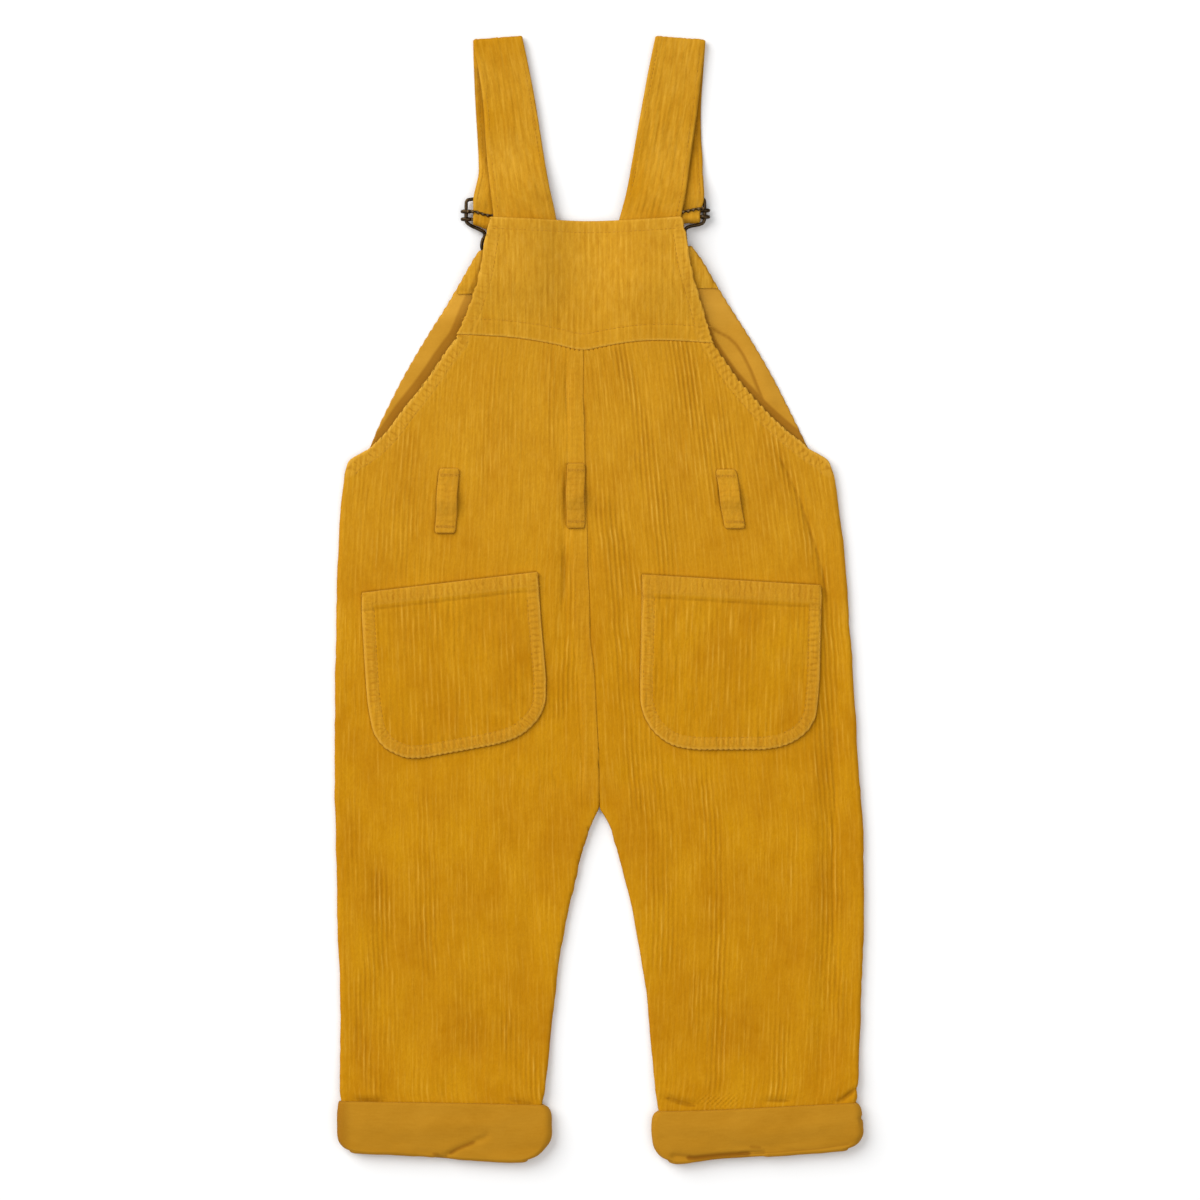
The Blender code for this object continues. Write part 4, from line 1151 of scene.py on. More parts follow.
def bib_piece(name, low, inset, height, wall, relief, step, levels, up):
    across, low_ends, high = cut_columns(bib_outline(low, inset), step)
    edge = np.interp(high, [90, 100, 205, 209], [0.0, 1.0, 1.0, 0.0])
    high = high + edge * (1.0 if up else 1.05) * (rib(across / WALE) - 0.5)
    flat, triangles = zip_columns(across, low_ends, high, levels)
    x, y = flat[:, 0], flat[:, 1]
    z = bib_z(x, y) + height
    if not up:
        for side in (-1, 1):
            x, z = bend(x, z, outer_fold(side, "front", np.minimum(y, 90.0)))
    middle = np.stack([x, y, z], 1)
    wale_at = flat[:, 0] / WALE + 0.14 * drift(x, y, 25, 50, 19)
    shows_here = wales_show(x, y, 29)
    over = relief * RIB * shows_here * (rib(wale_at) - (0.5 if up else 1.0))
    if up:
        under = 0.0
        over = over - 0.9 * hump(y - FACING_LOW - FACING_SLANT * x, 3.0)
    else:
        under = 0.10 * drift(x, y, 9, 14, 61) + 0.05 * drift(x, y, 3, 5, 63)
    paleness = 1.0 if up else 0.40 + 0.45 * ease(158, 182, y)
    marks = {"wale": wale_at, "shows": shows_here * 0.8, "pressed": 0.0, "pale": paleness}
    # The bib's inside and its facing both carry the painted shade, the facing a lighter share of it.
    marks["beside"] = bib_shade(x, y) + (0.9 if up else 0.0)
    return shell(name, middle, triangles, wall, over, flat, marks, under, up, crevice=0.5 if up else -0.3)


levels = levels_of(WAIST_Y + SEAM / 2, 213, 4.0, [(100, 168, 1.6)])
pieces["front_bib"] = bib_piece(
    "cloth_bib", low=WAIST_Y + SEAM / 2, inset=0.0, height=0.0, wall=WALL, relief=1.0, step=WALE / 4,
    levels=levels, up=False,
)
pieces["front_bib_facing"] = bib_piece(
    "cloth_bib_facing", low=FACING_LOW, inset=0.6, height=(WALL + FACING_WALL) / 2 + SEAM + 0.1,
    wall=FACING_WALL, relief=0.7, step=WALE / 6, levels=levels_of(FACING_LOW, 213, 2.0), up=True,
)

# %% [markdown]
# ## Patch pockets
#
# Each back pocket is a square patch with rounded lower corners. A wide hem is turned under at its opening
# and stands a little proud of the patch below it. A second row of stitching runs inside the edge, and the
# cloth between the two rows is gathered into small puckers.


# %% The pockets
def pocket(name, rows, lean, seed, hem):
    opening, round_it = pocket_lines(rows)
    middle_y = -40.0
    loop = [((x + lean * (y - middle_y)) / STRETCH, y) for x, y in round_it]
    across, low, high = cut_columns(loop, WALE / 6)
    # Each wale ends in a small scallop along the bottom.
    low = low - 0.5 * ease(-60, -82, low) * (rib(across / WALE) - 0.5)
    flat, triangles = zip_columns(across, low, high, levels_of(-100, 20, 1.2))
    y = flat[:, 1]
    x = flat[:, 0] * STRETCH - lean * (y - middle_y)
    bands = [puckered(opening, x, y, hem, 0.07, seed), puckered(round_it, x, y, EDGE_BAND, 0.46, seed + 1)]
    hem_held, rim_held = bands[0][1], bands[1][1]
    wale_at = flat[:, 0] / WALE + 0.14 * drift(x, y, 25, 50, seed + 2)
    shows_here = wales_show(x, y, seed + 3) * 1.3
    over = RIB * shows_here * (1 - 0.85 * hem_held) * (1 - 0.5 * rim_held) * (rib(wale_at) - 0.5)
    over = over + bands[0][0] * 1.2 + bands[1][0] * (1 - 0.7 * hem_held) + crush(x, y, seed + 5) * 2.0
    over = over - 0.4 * hump(bands[1][2] * INNER_ROW, 1.0)
    from_opening = bands[0][2] * (hem - FIRST_ROW)
    over = over + 0.35 * (1 - ease(hem - 0.8, hem + 0.8, from_opening))
    over = over - 0.3 * hump(from_opening - hem - 0.7, 1.3)
    slump = 0.5 * drift(x, y, 30, 26, seed + 4) * (1 - np.maximum(hem_held, rim_held))
    pressed_here = 0.62 * np.maximum(hem_held, rim_held)
    marks = {"wale": wale_at, "shows": shows_here * (1 - 0.75 * pressed_here) + 0.20, "pressed": pressed_here}
    # Painted shadow under the raised hem band, along its lower edge.
    marks["beside"] = 0.5 + 0.9 * np.abs(from_opening - hem - 0.5)
    middle = np.stack([x, y, back_z(x, y) + ON_BACK + 0.12 + np.maximum(slump, 0)], 1)
    marks = {**marks, **seam_marks(bands)}
    # No painted edge highlight along the opening.
    marks["hem"] = np.maximum(marks["hem"], 0.24 * (from_opening < 2.2))
    return shell(name, middle, triangles, PATCH_WALL, over, flat, marks, crevice=-0.4)


HEMS = {"pocket_left": 9.7, "pocket_right": 12.4}
for (node, rows), lean, seed in zip(POCKETS.items(), (0.035, -0.035), (70, 90)):
    pieces[node] = pocket(node.replace("pocket", "cloth_pocket"), rows, lean, seed, HEMS[node])

# %% [markdown]
# ## Belt loops
#
# A belt loop is a narrow strip, folded so that no raw edge shows. It is tacked down at both ends and bows
# up between them, so it throws a small shadow beside it.


# %% A grid of points, and the loops
def grid(rows, columns, ring=False):
    """Triangles between rows of points that all have as many columns."""
    i, j = np.meshgrid(np.arange(rows - 1), np.arange(columns if ring else columns - 1), indexing="ij")
    i, j = i.ravel(), j.ravel()
    a, b = i * columns + j, i * columns + (j + 1) % columns
    c, d = b + columns, a + columns
    return np.concatenate([np.stack([a, b, c], 1), np.stack([a, c, d], 1)])


def belt_loop(name, top_x, top_y, low_x, low_y, width, seed):
    share, across = np.meshgrid(np.linspace(0, 1, 56), np.linspace(-0.5, 0.5, 25), indexing="ij")
    share, across = share.ravel(), across.ravel()
    y = low_y + (top_y - low_y) * share
    wander = 0.35 * np.sin(7 * share + seed)
    end = np.minimum(share, 1 - share) * (top_y - low_y)
    width = width * (1 - 0.13 * hump(end, 0.9))
    x = low_x + (top_x - low_x) * share + width * across + wander * (1 - 4 * (share - 0.5) ** 2)
    bow = 2.1 * np.sin(math.pi * ease(0.08, 0.92, share)) ** 2
    z = back_z(x, y) + ON_BACK + bow
    wale_at = across * 3.4 + 0.2
    tacked = hump(end - 3.6, 1.1)
    over = 0.05 * (rib(wale_at) - 0.5) - 0.05 * tacked + 0.10 * hump(end - 1.2, 1.2)
    dents = 0.16 * drift(x, y, 2.4, 3.0, seed + 160) + 0.10 * drift(x, y, 1.2, 1.5, seed + 170)
    over = over + dents * (1 - tacked)
    over = over - 0.25 * hump((0.5 - np.abs(across)) * width, 1.0)
    marks = {"wale": wale_at, "shows": 0.04, "pressed": 0.5, "hem": 0.22, "run": y, "pale": 0.3}
    marks["beside"] = (1.25, 0.95, 1.3)[seed]
    middle = np.stack([x, y, z], 1)
    return shell(name, middle, grid(56, 25), PATCH_WALL, over, middle[:, :2], marks, finishes=[corduroy])


for seed, (node, *sizes) in enumerate(LOOPS):
    pieces[node] = belt_loop(node.replace("belt", "cloth"), *sizes, seed)

# %% [markdown]
# ## Straps
#
# Each strap is corduroy folded double. It comes from under the yoke, folds over at the shoulder, runs down
# through the clip's slide and back under itself. Its path is a short list of stations, with a curve drawn
# through them.


# %% The straps
SHOULDER_Y, SHOULDER_R = 337.1, 1.5  # the fold at the shoulder
LOOP_R, TAIL = 2.9, 25.0  # the loop round the slide's lower bar, and how far the strap's end goes up again
BAR_DOWN, WIRE_Z = (11.9, 11.2), 4.0  # the lower bar below the wire's top, and the wire's height
STRAP_MAP, ACROSS = 30, 67  # the strap's width in the cloth's map, and its points across
SLANT = ((-1.8, 2.3), (0.4, -2.2))  # the shoulder fold: height at the left edge, and what the right adds
SAG = (-2.6, 0.0)  # how much lower the left strap's loop hangs away from its left edge


def strap_stations(side, across):
    back, front = STRAP_BACK[side], STRAP_FRONT[side]
    under = WALL / 2 + SEAM + STRAP_WALL / 2 + 0.2
    top_z = STRAP_WALL / 2 + 2 * SHOULDER_R
    rows = []

    def station(left, right, y, z):
        at_y = y + (SLANT[side][0] + SLANT[side][1] * across) * ease(318, 335, y)
        at_y = at_y + SAG[side] * ease(0, 0.32, across) * ease(237, 228, y)
        rows.append(np.stack([left + (right - left) * across, at_y, z + 0 * across], 1))

    for y in (221.5, 226, 232, 238, 244, 251, 259, 268, 279, 292, 307, 322, SHOULDER_Y - 2.4):
        left, right = float(smooth(back, y, 1)), float(smooth(back, y, 2))
        held = back_z(left + (right - left) * across, min(y, 226)) - under
        station(left, right, y, held + (top_z - held) * ease(240, 271, y))
    left, right = back[-1][1:]
    for turn in np.radians((-60, -30, 0, 30, 60)):
        y = SHOULDER_Y - 1.0 + SHOULDER_R * math.cos(turn)
        station(left, right, y, STRAP_WALL / 2 + SHOULDER_R * (1 - math.sin(turn)))
    for y, left, right, z in front:
        station(left, right, y, z)
    bar_y = CLIP_Y[side] - BAR_DOWN[side]
    for turn in np.radians((75, 45, 15, -15, -45, -75)):
        station(left, right, bar_y - LOOP_R * math.cos(turn), WIRE_Z + LOOP_R * math.sin(turn))
    upward = front[::-1]
    for along in (2.5, 12, 19, TAIL):
        y = bar_y + along
        station(float(smooth(upward, y, 1)) + 0.3, float(smooth(upward, y, 2)) + 0.3, y, STRAP_WALL / 2)
    return np.array(rows)


def through(stations, step):
    """Rows at even steps on a curve through the stations, with how far along each is."""
    middle = stations[:, stations.shape[1] // 2]
    gone = np.concatenate([[0], np.cumsum(np.linalg.norm(np.diff(middle, axis=0), axis=1))])
    slope = np.diff(stations, axis=0) / np.diff(gone)[:, None, None]
    tangent = np.concatenate([slope[:1], (slope[:-1] + slope[1:]) / 2, slope[-1:]])
    tight = np.linalg.norm(np.diff(slope[:, stations.shape[1] // 2], axis=0), axis=1)
    marks = [0.0]
    while marks[-1] < gone[-1]:
        i = int(np.clip(np.searchsorted(gone, marks[-1]), 1, len(gone) - 2))
        marks.append(marks[-1] + (step if tight[i - 1] < 0.25 else 0.5))
    at = np.minimum(marks, gone[-1])
    i = np.clip(np.searchsorted(gone, at, "right") - 1, 0, len(gone) - 2)
    h = (gone[i + 1] - gone[i])[:, None, None]
    s = ((at - gone[i])[:, None, None]) / h
    rows = stations[i] * (1 + 2 * s) * (1 - s) ** 2 + stations[i + 1] * s * s * (3 - 2 * s)
    return rows + h * s * (1 - s) * (tangent[i] * (1 - s) - tangent[i + 1] * s), at


def strap(name, side):
    across = np.linspace(0, 1, ACROSS)
    rows, gone = through(strap_stations(side, across), 2.4)
    share, along = np.tile(across, len(rows)), np.repeat(gone, ACROSS)
    on_strap = share * STRAP_MAP
    width = np.repeat(np.linalg.norm(rows[:, -1] - rows[:, 0], axis=1), ACROSS)
    wale_at = (share - 0.5) * 10.4 + 0.10 * drift(on_strap, along, 14, 50, 101 + side)
    rows[:, :, 2] = np.maximum(rows[:, :, 2], STRAP_WALL / 2 + 0.02)
    from_edge = np.minimum(share, 1 - share) * width
    raised, held = band(from_edge, 3.6)
    uneven = 0.25 * drift(on_strap, along, 7, 70, 117 + side)
    shows_here = np.clip(wales_show(on_strap, along, 111 + side) * 1.6 + uneven, 0, 0.8)
    relief = RIB * shows_here * (rib(wale_at) - 0.5) * (1 - 0.5 * held) + 0.45 * raised
    relief = relief - 0.35 * hump(from_edge, 0.9) + 2.5 * crush(on_strap, along, 115 + side)
    pucker = 0.10 * np.sin(2 * np.pi * (along + 1.2 * drift(share, along, 9, 13, 7)) / 4.8) * held
    middle = rows.reshape(-1, 3)
    on_table = middle[:, 2] < STRAP_WALL / 2 + 0.4
    relief, pucker = np.where(on_table, np.minimum(relief, 0), relief), np.where(on_table, 0, pucker)
    triangles = grid(len(rows), ACROSS)
    if normals_of(middle, triangles)[ACROSS * 3 + 30][2] < 0:
        triangles = triangles[:, [0, 2, 1]]
    marks = {"wale": wale_at, "shows": shows_here * (0.35 - 0.1 * held), "pressed": held * 0.5}
    marks["pale"] = 0.64 + 0.55 * drift(on_strap, along, 15, 24, 119 + side)
    # The part that runs down in front gets painted shade from the part behind it, most of all beside its
    # edge, and the rest of the strap a little of the same dark colour, evenly.
    x, y = middle[:, 0], middle[:, 1]
    out = smooth(STRAP_BACK[0], y, 1) - x if side == 0 else x - smooth(STRAP_BACK[1], y, 2)
    shaded = out * (0.7 - 0.5 * ease(252, 275, y)) - 0.4 + 9 * (ease(318, 330, y) + ease(231, 225, y))
    in_front = along > gone[int(np.argmax(rows[:, ACROSS // 2, 1]))]
    marks["beside"] = np.where(in_front, np.minimum(shaded, 1.25), 1.25)
    place = np.stack([on_strap, along], 1)
    return shell(name, middle, triangles, STRAP_WALL, relief + pucker, place, marks, relief, None, [corduroy])


for side, word in enumerate(("left", "right")):
    pieces["strap_" + word] = strap("cloth_strap_" + word, side)

# %% [markdown]
# ## Turned-up cuffs
#
# The end of each leg is turned up to the outside, so the cuff shows the smooth inside of the corduroy. It
# is a flattened ring of cloth: its wall runs down, turns under at the foot and goes up again inside. The
# turn is springy, so it stands off the leg, with soft corners and a few creases where the layers push
# against each other.

# %% The cuffs
CUFF_CREASES = {  # height, width, points
    -1: [
        (-0.9, 1.7, [(-97, -334.5), (-91.9, -333.3), (-85, -329.1), (-74.7, -324.8), (-67.5, -321.6)]),
        (-0.45, 2.8, [(-108, -331.0), (-96, -332.4), (-88, -333)]),
        (-0.25, 2.0, [(-82, -317), (-66, -318.9)]),
        (-0.25, 2.4, [(-142, -328), (-126, -330)]),
        (0.5, 5.0, [(-140, -314), (-110, -317), (-60, -314)]),
    ],
    1: [
        (-1.3, 1.8, [(45, -333.6), (57, -334.8), (71.8, -333.2), (84.9, -332.2), (98, -331.8)]),
        (-0.35, 1.3, [(84.9, -332.2), (110, -330.8), (131, -329.0), (150.9, -326.0), (157.5, -322.8)]),
        (-0.35, 3.0, [(82, -327), (105, -329)]),
        (-0.8, 0.9, [(160, -309), (156.4, -311.5), (157.5, -315.5)]),
        (0.5, 5.0, [(50, -316), (90, -320), (140, -314)]),
    ],
}


def cuff(name, side):
    columns = (1, 2) if side < 0 else (3, 4)
    down = [(math.sin(s), 0.0, 0.0) for s in np.linspace(0, math.pi / 2, 30)]
    turn = np.linspace(0, math.pi, 9)[1:]
    down += [(1.0, CUFF_TURN * (1 - math.cos(t)), -CUFF_TURN * math.sin(t)) for t in turn]
    down += [(1.0, 2 * CUFF_TURN, lift) for lift in (1.6, 3.3, 5.0)]
    flat = np.linspace(0, 1, 130)
    turn = np.radians(np.linspace(90, -90, 15)[1:-1])
    rows, place, gone = [], [], 0.0
    for share, inset, shift in down:
        left = float(smooth(CUFF_SIDES, share, columns[0])) + WALL / 2 + inset
        right = float(smooth(CUFF_SIDES, share, columns[1])) - WALL / 2 - inset
        puff = 0.7 * math.sin(math.pi * min(share, 0.8) / 0.9)
        low, high = WALL / 2 + inset, CUFF_HEIGHT + (puff if inset == 0 else 0) - inset
        middle, tall = (low + high) / 2, (high - low) / 2
        top_x = left + tall + (right - left - 2 * tall) * flat
        ring_x = [top_x, right - tall + tall * np.cos(turn), top_x[::-1], left + tall - tall * np.cos(turn)]
        ring_z = [0 * flat + high, middle + tall * np.sin(turn), 0 * flat + low, middle - tall * np.sin(turn)]
        x, z = np.concatenate(ring_x), np.concatenate(ring_z)
        top, fold = smooth(CUFF_TOP, x), smooth(CUFF_FOLD, x) + WALL / 2 + CUFF_TURN
        y = top + (fold - top) * share + shift
        rows.append(np.stack([x, y, z], 1))
        length = np.concatenate([[0], np.cumsum(np.hypot(np.diff(x), np.diff(z)))])
        place.append(np.stack([length, np.full(len(x), -gone)], 1))
        gone += 1.3
    middle = np.concatenate(rows)
    count, around = len(rows), len(rows[0])
    triangles = grid(count, around, ring=True)
    if normals_of(middle, triangles)[around * 8 + 40][2] < 0:
        triangles = triangles[:, [0, 2, 1]]
    x, y, z = middle.T
    on_top = ease(3.0, 6.5, z)
    soft = 0.35 * drift(x, y, 26, 7, 121 + side) + 0.12 * drift(x, y, 7, 4, 123 + side)
    over = on_top * (creased(CUFF_CREASES[side], x, y) + soft)
    over = over * ease(0, 6, np.concatenate([np.full(around, float(k)) for k in range(count)]))
    over = np.where(z < WALL, np.minimum(over, 0), over)
    # Painted shade in the deepest creases on the cuff's top, and towards the left cuff's end.
    beside = 9.0
    for tall, wide, points in CUFF_CREASES[side]:
        if tall < -0.3:
            far, along = near(points, x, y)
            ends = ease(0, 9, along) * ease(0, 9, length_of(points) - along)
            beside = np.minimum(beside, far * 1.4 / wide - 0.6 + 9 * (1 - ends) + 1.2 * (1 + tall))
    if side < 0:
        beside = np.minimum(beside, (x + 157) * 0.12 - 0.1)
    beside = np.where(z > 3, beside, 9.0)
    marks, place = {"wale": 0.0, "shows": 0.0, "pressed": 0.0, "beside": beside}, np.concatenate(place)
    return shell(name, middle, triangles, WALL, over, place, marks, up=None, finishes=[inside])


for side, word in ((-1, "left"), (1, "right")):
    pieces["cuff_" + word] = cuff("cloth_cuff_" + word, side)

# %% [markdown]
# ## Topstitching with Geometry Nodes
#
# A line of topstitching is one small stitch repeated hundreds of times along a path, which is what Geometry
# Nodes do well. The tree takes a path, puts points on it at the stitch's pitch, and sets a slim capsule on
# each with its long side along the path. Its sizes are named inputs, so that one tree sews every seam and
# also the dense bar tacks.


# %% The tree that sews
def sewing_tree():
    tree = bpy.data.node_groups.new("topstitching", "GeometryNodeTree")
    tree.interface.new_socket("Path", in_out="INPUT", socket_type="NodeSocketGeometry")
    for name in ("Pitch", "Stitch length", "Thread width"):
        tree.interface.new_socket(name, in_out="INPUT", socket_type="NodeSocketFloat")
    tree.interface.new_socket("Thread", in_out="INPUT", socket_type="NodeSocketMaterial")
    tree.interface.new_socket("Sewn", in_out="OUTPUT", socket_type="NodeSocketGeometry")
    made = {}

    def add(label, kind, links, **settings):
        node = tree.nodes.new(kind)
        for key, value in settings.items():
            setattr(node, key, value)
        for socket, source in links.items():
            if isinstance(source, tuple):
                tree.links.new(made[source[0]].outputs[source[1]], node.inputs[socket])
            else:
                node.inputs[socket].default_value = source
        made[label] = node

    add("in", "NodeGroupInput", {})
    add("line", "GeometryNodeMeshToCurve", {"Mesh": ("in", "Path")})
    places = {"Curve": ("line", "Curve"), "Length": ("in", "Pitch")}
    add("places", "GeometryNodeCurveToPoints", places, mode="LENGTH")
    add("ball", "GeometryNodeMeshUVSphere", {"Segments": 6, "Rings": 4, "Radius": 0.5})
    sizes = {"X": ("in", "Thread width"), "Y": ("in", "Thread width"), "Z": ("in", "Stitch length")}
    add("sizes", "ShaderNodeCombineXYZ", sizes)
    add("stitch", "GeometryNodeTransform", {"Geometry": ("ball", "Mesh"), "Scale": ("sizes", "Vector")})
    sewn = {"Points": ("places", "Points"), "Rotation": ("places", "Rotation")}
    add("sewn", "GeometryNodeInstanceOnPoints", {**sewn, "Instance": ("stitch", "Geometry")})
    add("real", "GeometryNodeRealizeInstances", {"Geometry": ("sewn", "Instances")})
    add("round", "GeometryNodeSetShadeSmooth", {"Geometry": ("real", "Geometry")})
    thread_on = {"Geometry": ("round", "Geometry"), "Material": ("in", "Thread")}
    add("coloured", "GeometryNodeSetMaterial", thread_on)
    add("out", "NodeGroupOutput", {"Sewn": ("coloured", "Geometry")})
    return tree


topstitching = sewing_tree()
sockets = {item.name: item.identifier for item in topstitching.interface.items_tree if item.in_out == "INPUT"}


def sew(name, lines, pitch=2.6, length=2.05, width=0.34):
    """Stitches along lines of points in millimetres, as one plain mesh."""
    points, edges = [], []
    for line in lines:
        edges += [(len(points) + k, len(points) + k + 1) for k in range(len(line) - 1)]
        points += [tuple(float(c) * MM for c in p) for p in line]
    path = bpy.data.meshes.new(name + "_path")
    path.from_pydata(points, edges, [])
    guide = placed(name + "_path", path)
    sewn = guide.modifiers.new("sewn", "NODES")
    sewn.node_group = topstitching
    for key, value in (("Pitch", pitch), ("Stitch length", length), ("Thread width", width)):
        sewn[sockets[key]] = value * MM
    sewn[sockets["Thread"]] = thread.material
    graph = bpy.context.evaluated_depsgraph_get()
    mesh = bpy.data.meshes.new_from_object(guide.evaluated_get(graph))
    bpy.data.objects.remove(guide)
    print(name, len(mesh.polygons) // 24, "stitches")
    return placed(name, mesh)


# %% [markdown]
# ## Where the stitches run
#
# Every line is set off from a cut edge by the width of the seam band, and lies in the groove that the
# relief already has. `inset` moves a line sideways, and a height function puts it on the cloth.


# %% Lines of stitches
def inset(points, distance):
    """A line moved sideways by a distance, to the left of its direction, at about one point a millimetre."""
    line = np.array(points, float)
    gone = np.concatenate([[0], np.cumsum(np.hypot(*np.diff(line, axis=0).T))])
    at = np.linspace(0, gone[-1], max(int(gone[-1]), 3))
    line = np.stack([np.interp(at, gone, line[:, k]) for k in (0, 1)], 1)
    run = np.gradient(line, axis=0)
    run = np.stack([np.convolve(np.pad(run[:, k], 3, "edge"), np.ones(7) / 7, "valid") for k in (0, 1)], 1)
    run /= np.linalg.norm(run, axis=1)[:, None]
    return line + distance * np.stack([-run[:, 1], run[:, 0]], 1)


def on_back(line, above):
    line = np.array(line, float)
    return np.column_stack([line, back_z(line[:, 0], line[:, 1]) + above])


TOP = WALL / 2 + 0.12
stitches = {}
for side, word in ((-1, "left"), (1, "right")):
    arm = [(x, y + seam_rise(x, y)) for x, y in armhole(side)]
    lines = [on_back(inset(arm, INNER_ROW * side), TOP)]
    if side < 0:
        seam = [(float(centre_x(y)), float(y)) for y in np.arange(CROTCH_Y + 3, 149, 4)]
        lines += [on_back(inset(seam, 8.1), TOP), on_back(inset(seam, FIRST_ROW), TOP + 0.05)]
    stitches["back_" + word] = sew("stitches_back_" + word, lines)

top_line = [(float(x), float(smooth(YOKE_TOP, x))) for x in np.linspace(-63, 47, 60)]
seam_line = [(float(x), float(smooth(YOKE_SEAM, x))) for x in np.linspace(-82, 66, 60)]
yoke_sides = [inset(side_lines[0][2:-5], INNER_ROW), inset(side_lines[1][5:-2], INNER_ROW)]
yoke_lines = [inset(top_line, -6.5), inset(seam_line, 9.5), inset(seam_line, 1.8), *yoke_sides]
stitches["back_yoke"] = sew("stitches_yoke", [on_back(line, TOP) for line in yoke_lines])

for node, rows in POCKETS.items():
    opening, round_it = pocket_lines(rows)
    up = ON_BACK + 0.12 + PATCH_WALL / 2 + 0.12
    lines = [inset(opening, -1.4), inset(opening, FIRST_ROW - HEMS[node])]
    lines += [inset(round_it[1:-1], FIRST_ROW), inset(round_it[4:-4], INNER_ROW)]
    stitches[node] = sew("stitches_" + node, [on_back(line, up) for line in lines])

for node, top_x, top_y, low_x, low_y, width in LOOPS:
    tacks = []
    for inwards in (3.0, 3.6, 4.2):
        for end_x, end_y in ((top_x, top_y - inwards), (low_x, low_y + inwards)):
            span = np.linspace(end_x - width / 2 + 0.8, end_x + width / 2 - 0.8, 12)
            tacks.append(on_back([(v, end_y) for v in span], ON_BACK + PATCH_WALL / 2 + 0.02))
    stitches[node] = sew("stitches_" + node, tacks, 0.9, 0.85, 0.38)

for side, word in enumerate(("left", "right")):
    lines = []
    for share in (0.07, 0.93):
        rows, gone = through(strap_stations(side, np.array([share - 0.02, share, share + 0.02])), 2.4)
        up = np.cross(np.gradient(rows[:, 1], axis=0), rows[:, 2] - rows[:, 0])
        up *= (np.sign(up[:, 2]) / np.linalg.norm(up, axis=1))[:, None]
        sewn_at = rows[:, 1] + up * (STRAP_WALL / 2 + 0.08)
        turn = int(np.argmax(rows[:, 1, 1]))
        lines += [sewn_at[4:turn - 6], sewn_at[turn + 6:int(np.searchsorted(gone, gone[-1] - 48))]]
    stitches["strap_" + word] = sew("stitches_strap_" + word, lines)

# %% [markdown]
# ## Clips
#
# A dungaree clip is one bent wire, a slide and a button. The wire goes wide round the strap and narrow
# round the button's shank. The slide has a toothed bar that grips the strap, a lower bar that the strap
# turns round, and collars that run on the wire. All of them are small castings and bent rod, so they are
# swept and turned shapes.


# %% Swept and turned shapes
import bmesh


def circle(sides):
    return [(math.cos(a), math.sin(a)) for a in np.linspace(0, 2 * math.pi, sides, endpoint=False)]


class Metal:
    """Points and faces of one clip piece, added shape by shape."""

    def __init__(self):
        self.points, self.faces = [], []

    def rings(self, rings, closed=False):
        """Joins rings of points into a skin, with its ends capped unless it is closed on itself."""
        first, count = len(self.points), len(rings[0])
        for ring in rings:
            self.points += [tuple(float(c) * MM for c in p) for p in ring]
        last = len(rings) if closed else len(rings) - 1
        for i in range(last):
            low, high = first + i * count, first + (i + 1) % len(rings) * count
            after = [(k + 1) % count for k in range(count)]
            self.faces += [(low + k, low + n, high + n, high + k) for k, n in enumerate(after)]
        if not closed:
            self.faces.append(tuple(range(first + count - 1, first - 1, -1)))
            end = first + (len(rings) - 1) * count
            self.faces.append(tuple(range(end, end + count)))

    def rod(self, line, radius, closed=False):
        line = np.array(line, float)
        run = (np.roll(line, -1, 0) - np.roll(line, 1, 0)) if closed else np.gradient(line, axis=0)
        run /= np.linalg.norm(run, axis=1)[:, None]
        sideways = np.cross(run, (0, 0, 1.0))
        sideways /= np.linalg.norm(sideways, axis=1)[:, None]
        upwards = np.cross(sideways, run)
        skin = [line + radius * (c * sideways + s * upwards) for c, s in circle(14)]
        self.rings(np.stack(skin, 1), closed)

    def oval_bead(self, centre, half_x, half_y, half_z):
        """A flattened bead, rounded at its rim, whose hole would run along Y."""
        x, y, z = centre
        rings = []
        for t in np.sin(np.linspace(-math.pi / 2 * 0.97, math.pi / 2 * 0.97, 11)):
            wide = (1 - abs(t) ** 3.2) ** (1 / 3.2)
            wide_x, wide_z = half_x * wide, half_z * wide
            rings.append([(x + wide_x * c, y + half_y * t, z + wide_z * s) for c, s in circle(24)])
        self.rings(rings)

    def finish(self, name):
        mesh = bpy.data.meshes.new(name)
        mesh.from_pydata(self.points, [], self.faces)
        mesh.materials.append(brass.material)
        work = bmesh.new()
        work.from_mesh(mesh)
        bmesh.ops.recalc_face_normals(work, faces=work.faces)
        work.to_mesh(mesh)
        work.free()
        mesh.polygons.foreach_set("use_smooth", np.ones(len(mesh.polygons), bool))
        mesh.set_sharp_from_angle(angle=math.radians(50))
        print(name, len(mesh.polygons), "faces")
        return placed(name, mesh)


# %% The wire, the slide and the button
CLIP_HALF, WIRE_R, BAR_Z = 19.1, 1.05, 6.45
NECKS = [  # each clip's wire from the collars to the button: across and down from its top
    [(18.9, 13.4), (17.8, 14.7), (9.9, 18.8), (8.1, 20.2), (8.0, 21.8), (9.2, 24.6), (9.8, 27.5), (9.2, 31.0),
     (8.6, 33.4)],
    [(18.9, 13.2), (18.2, 14.6), (8.0, 18.1), (7.4, 19.4), (7.5, 22.2), (7.8, 26.0), (8.0, 30.0),
     (7.9, 33.4)],
]


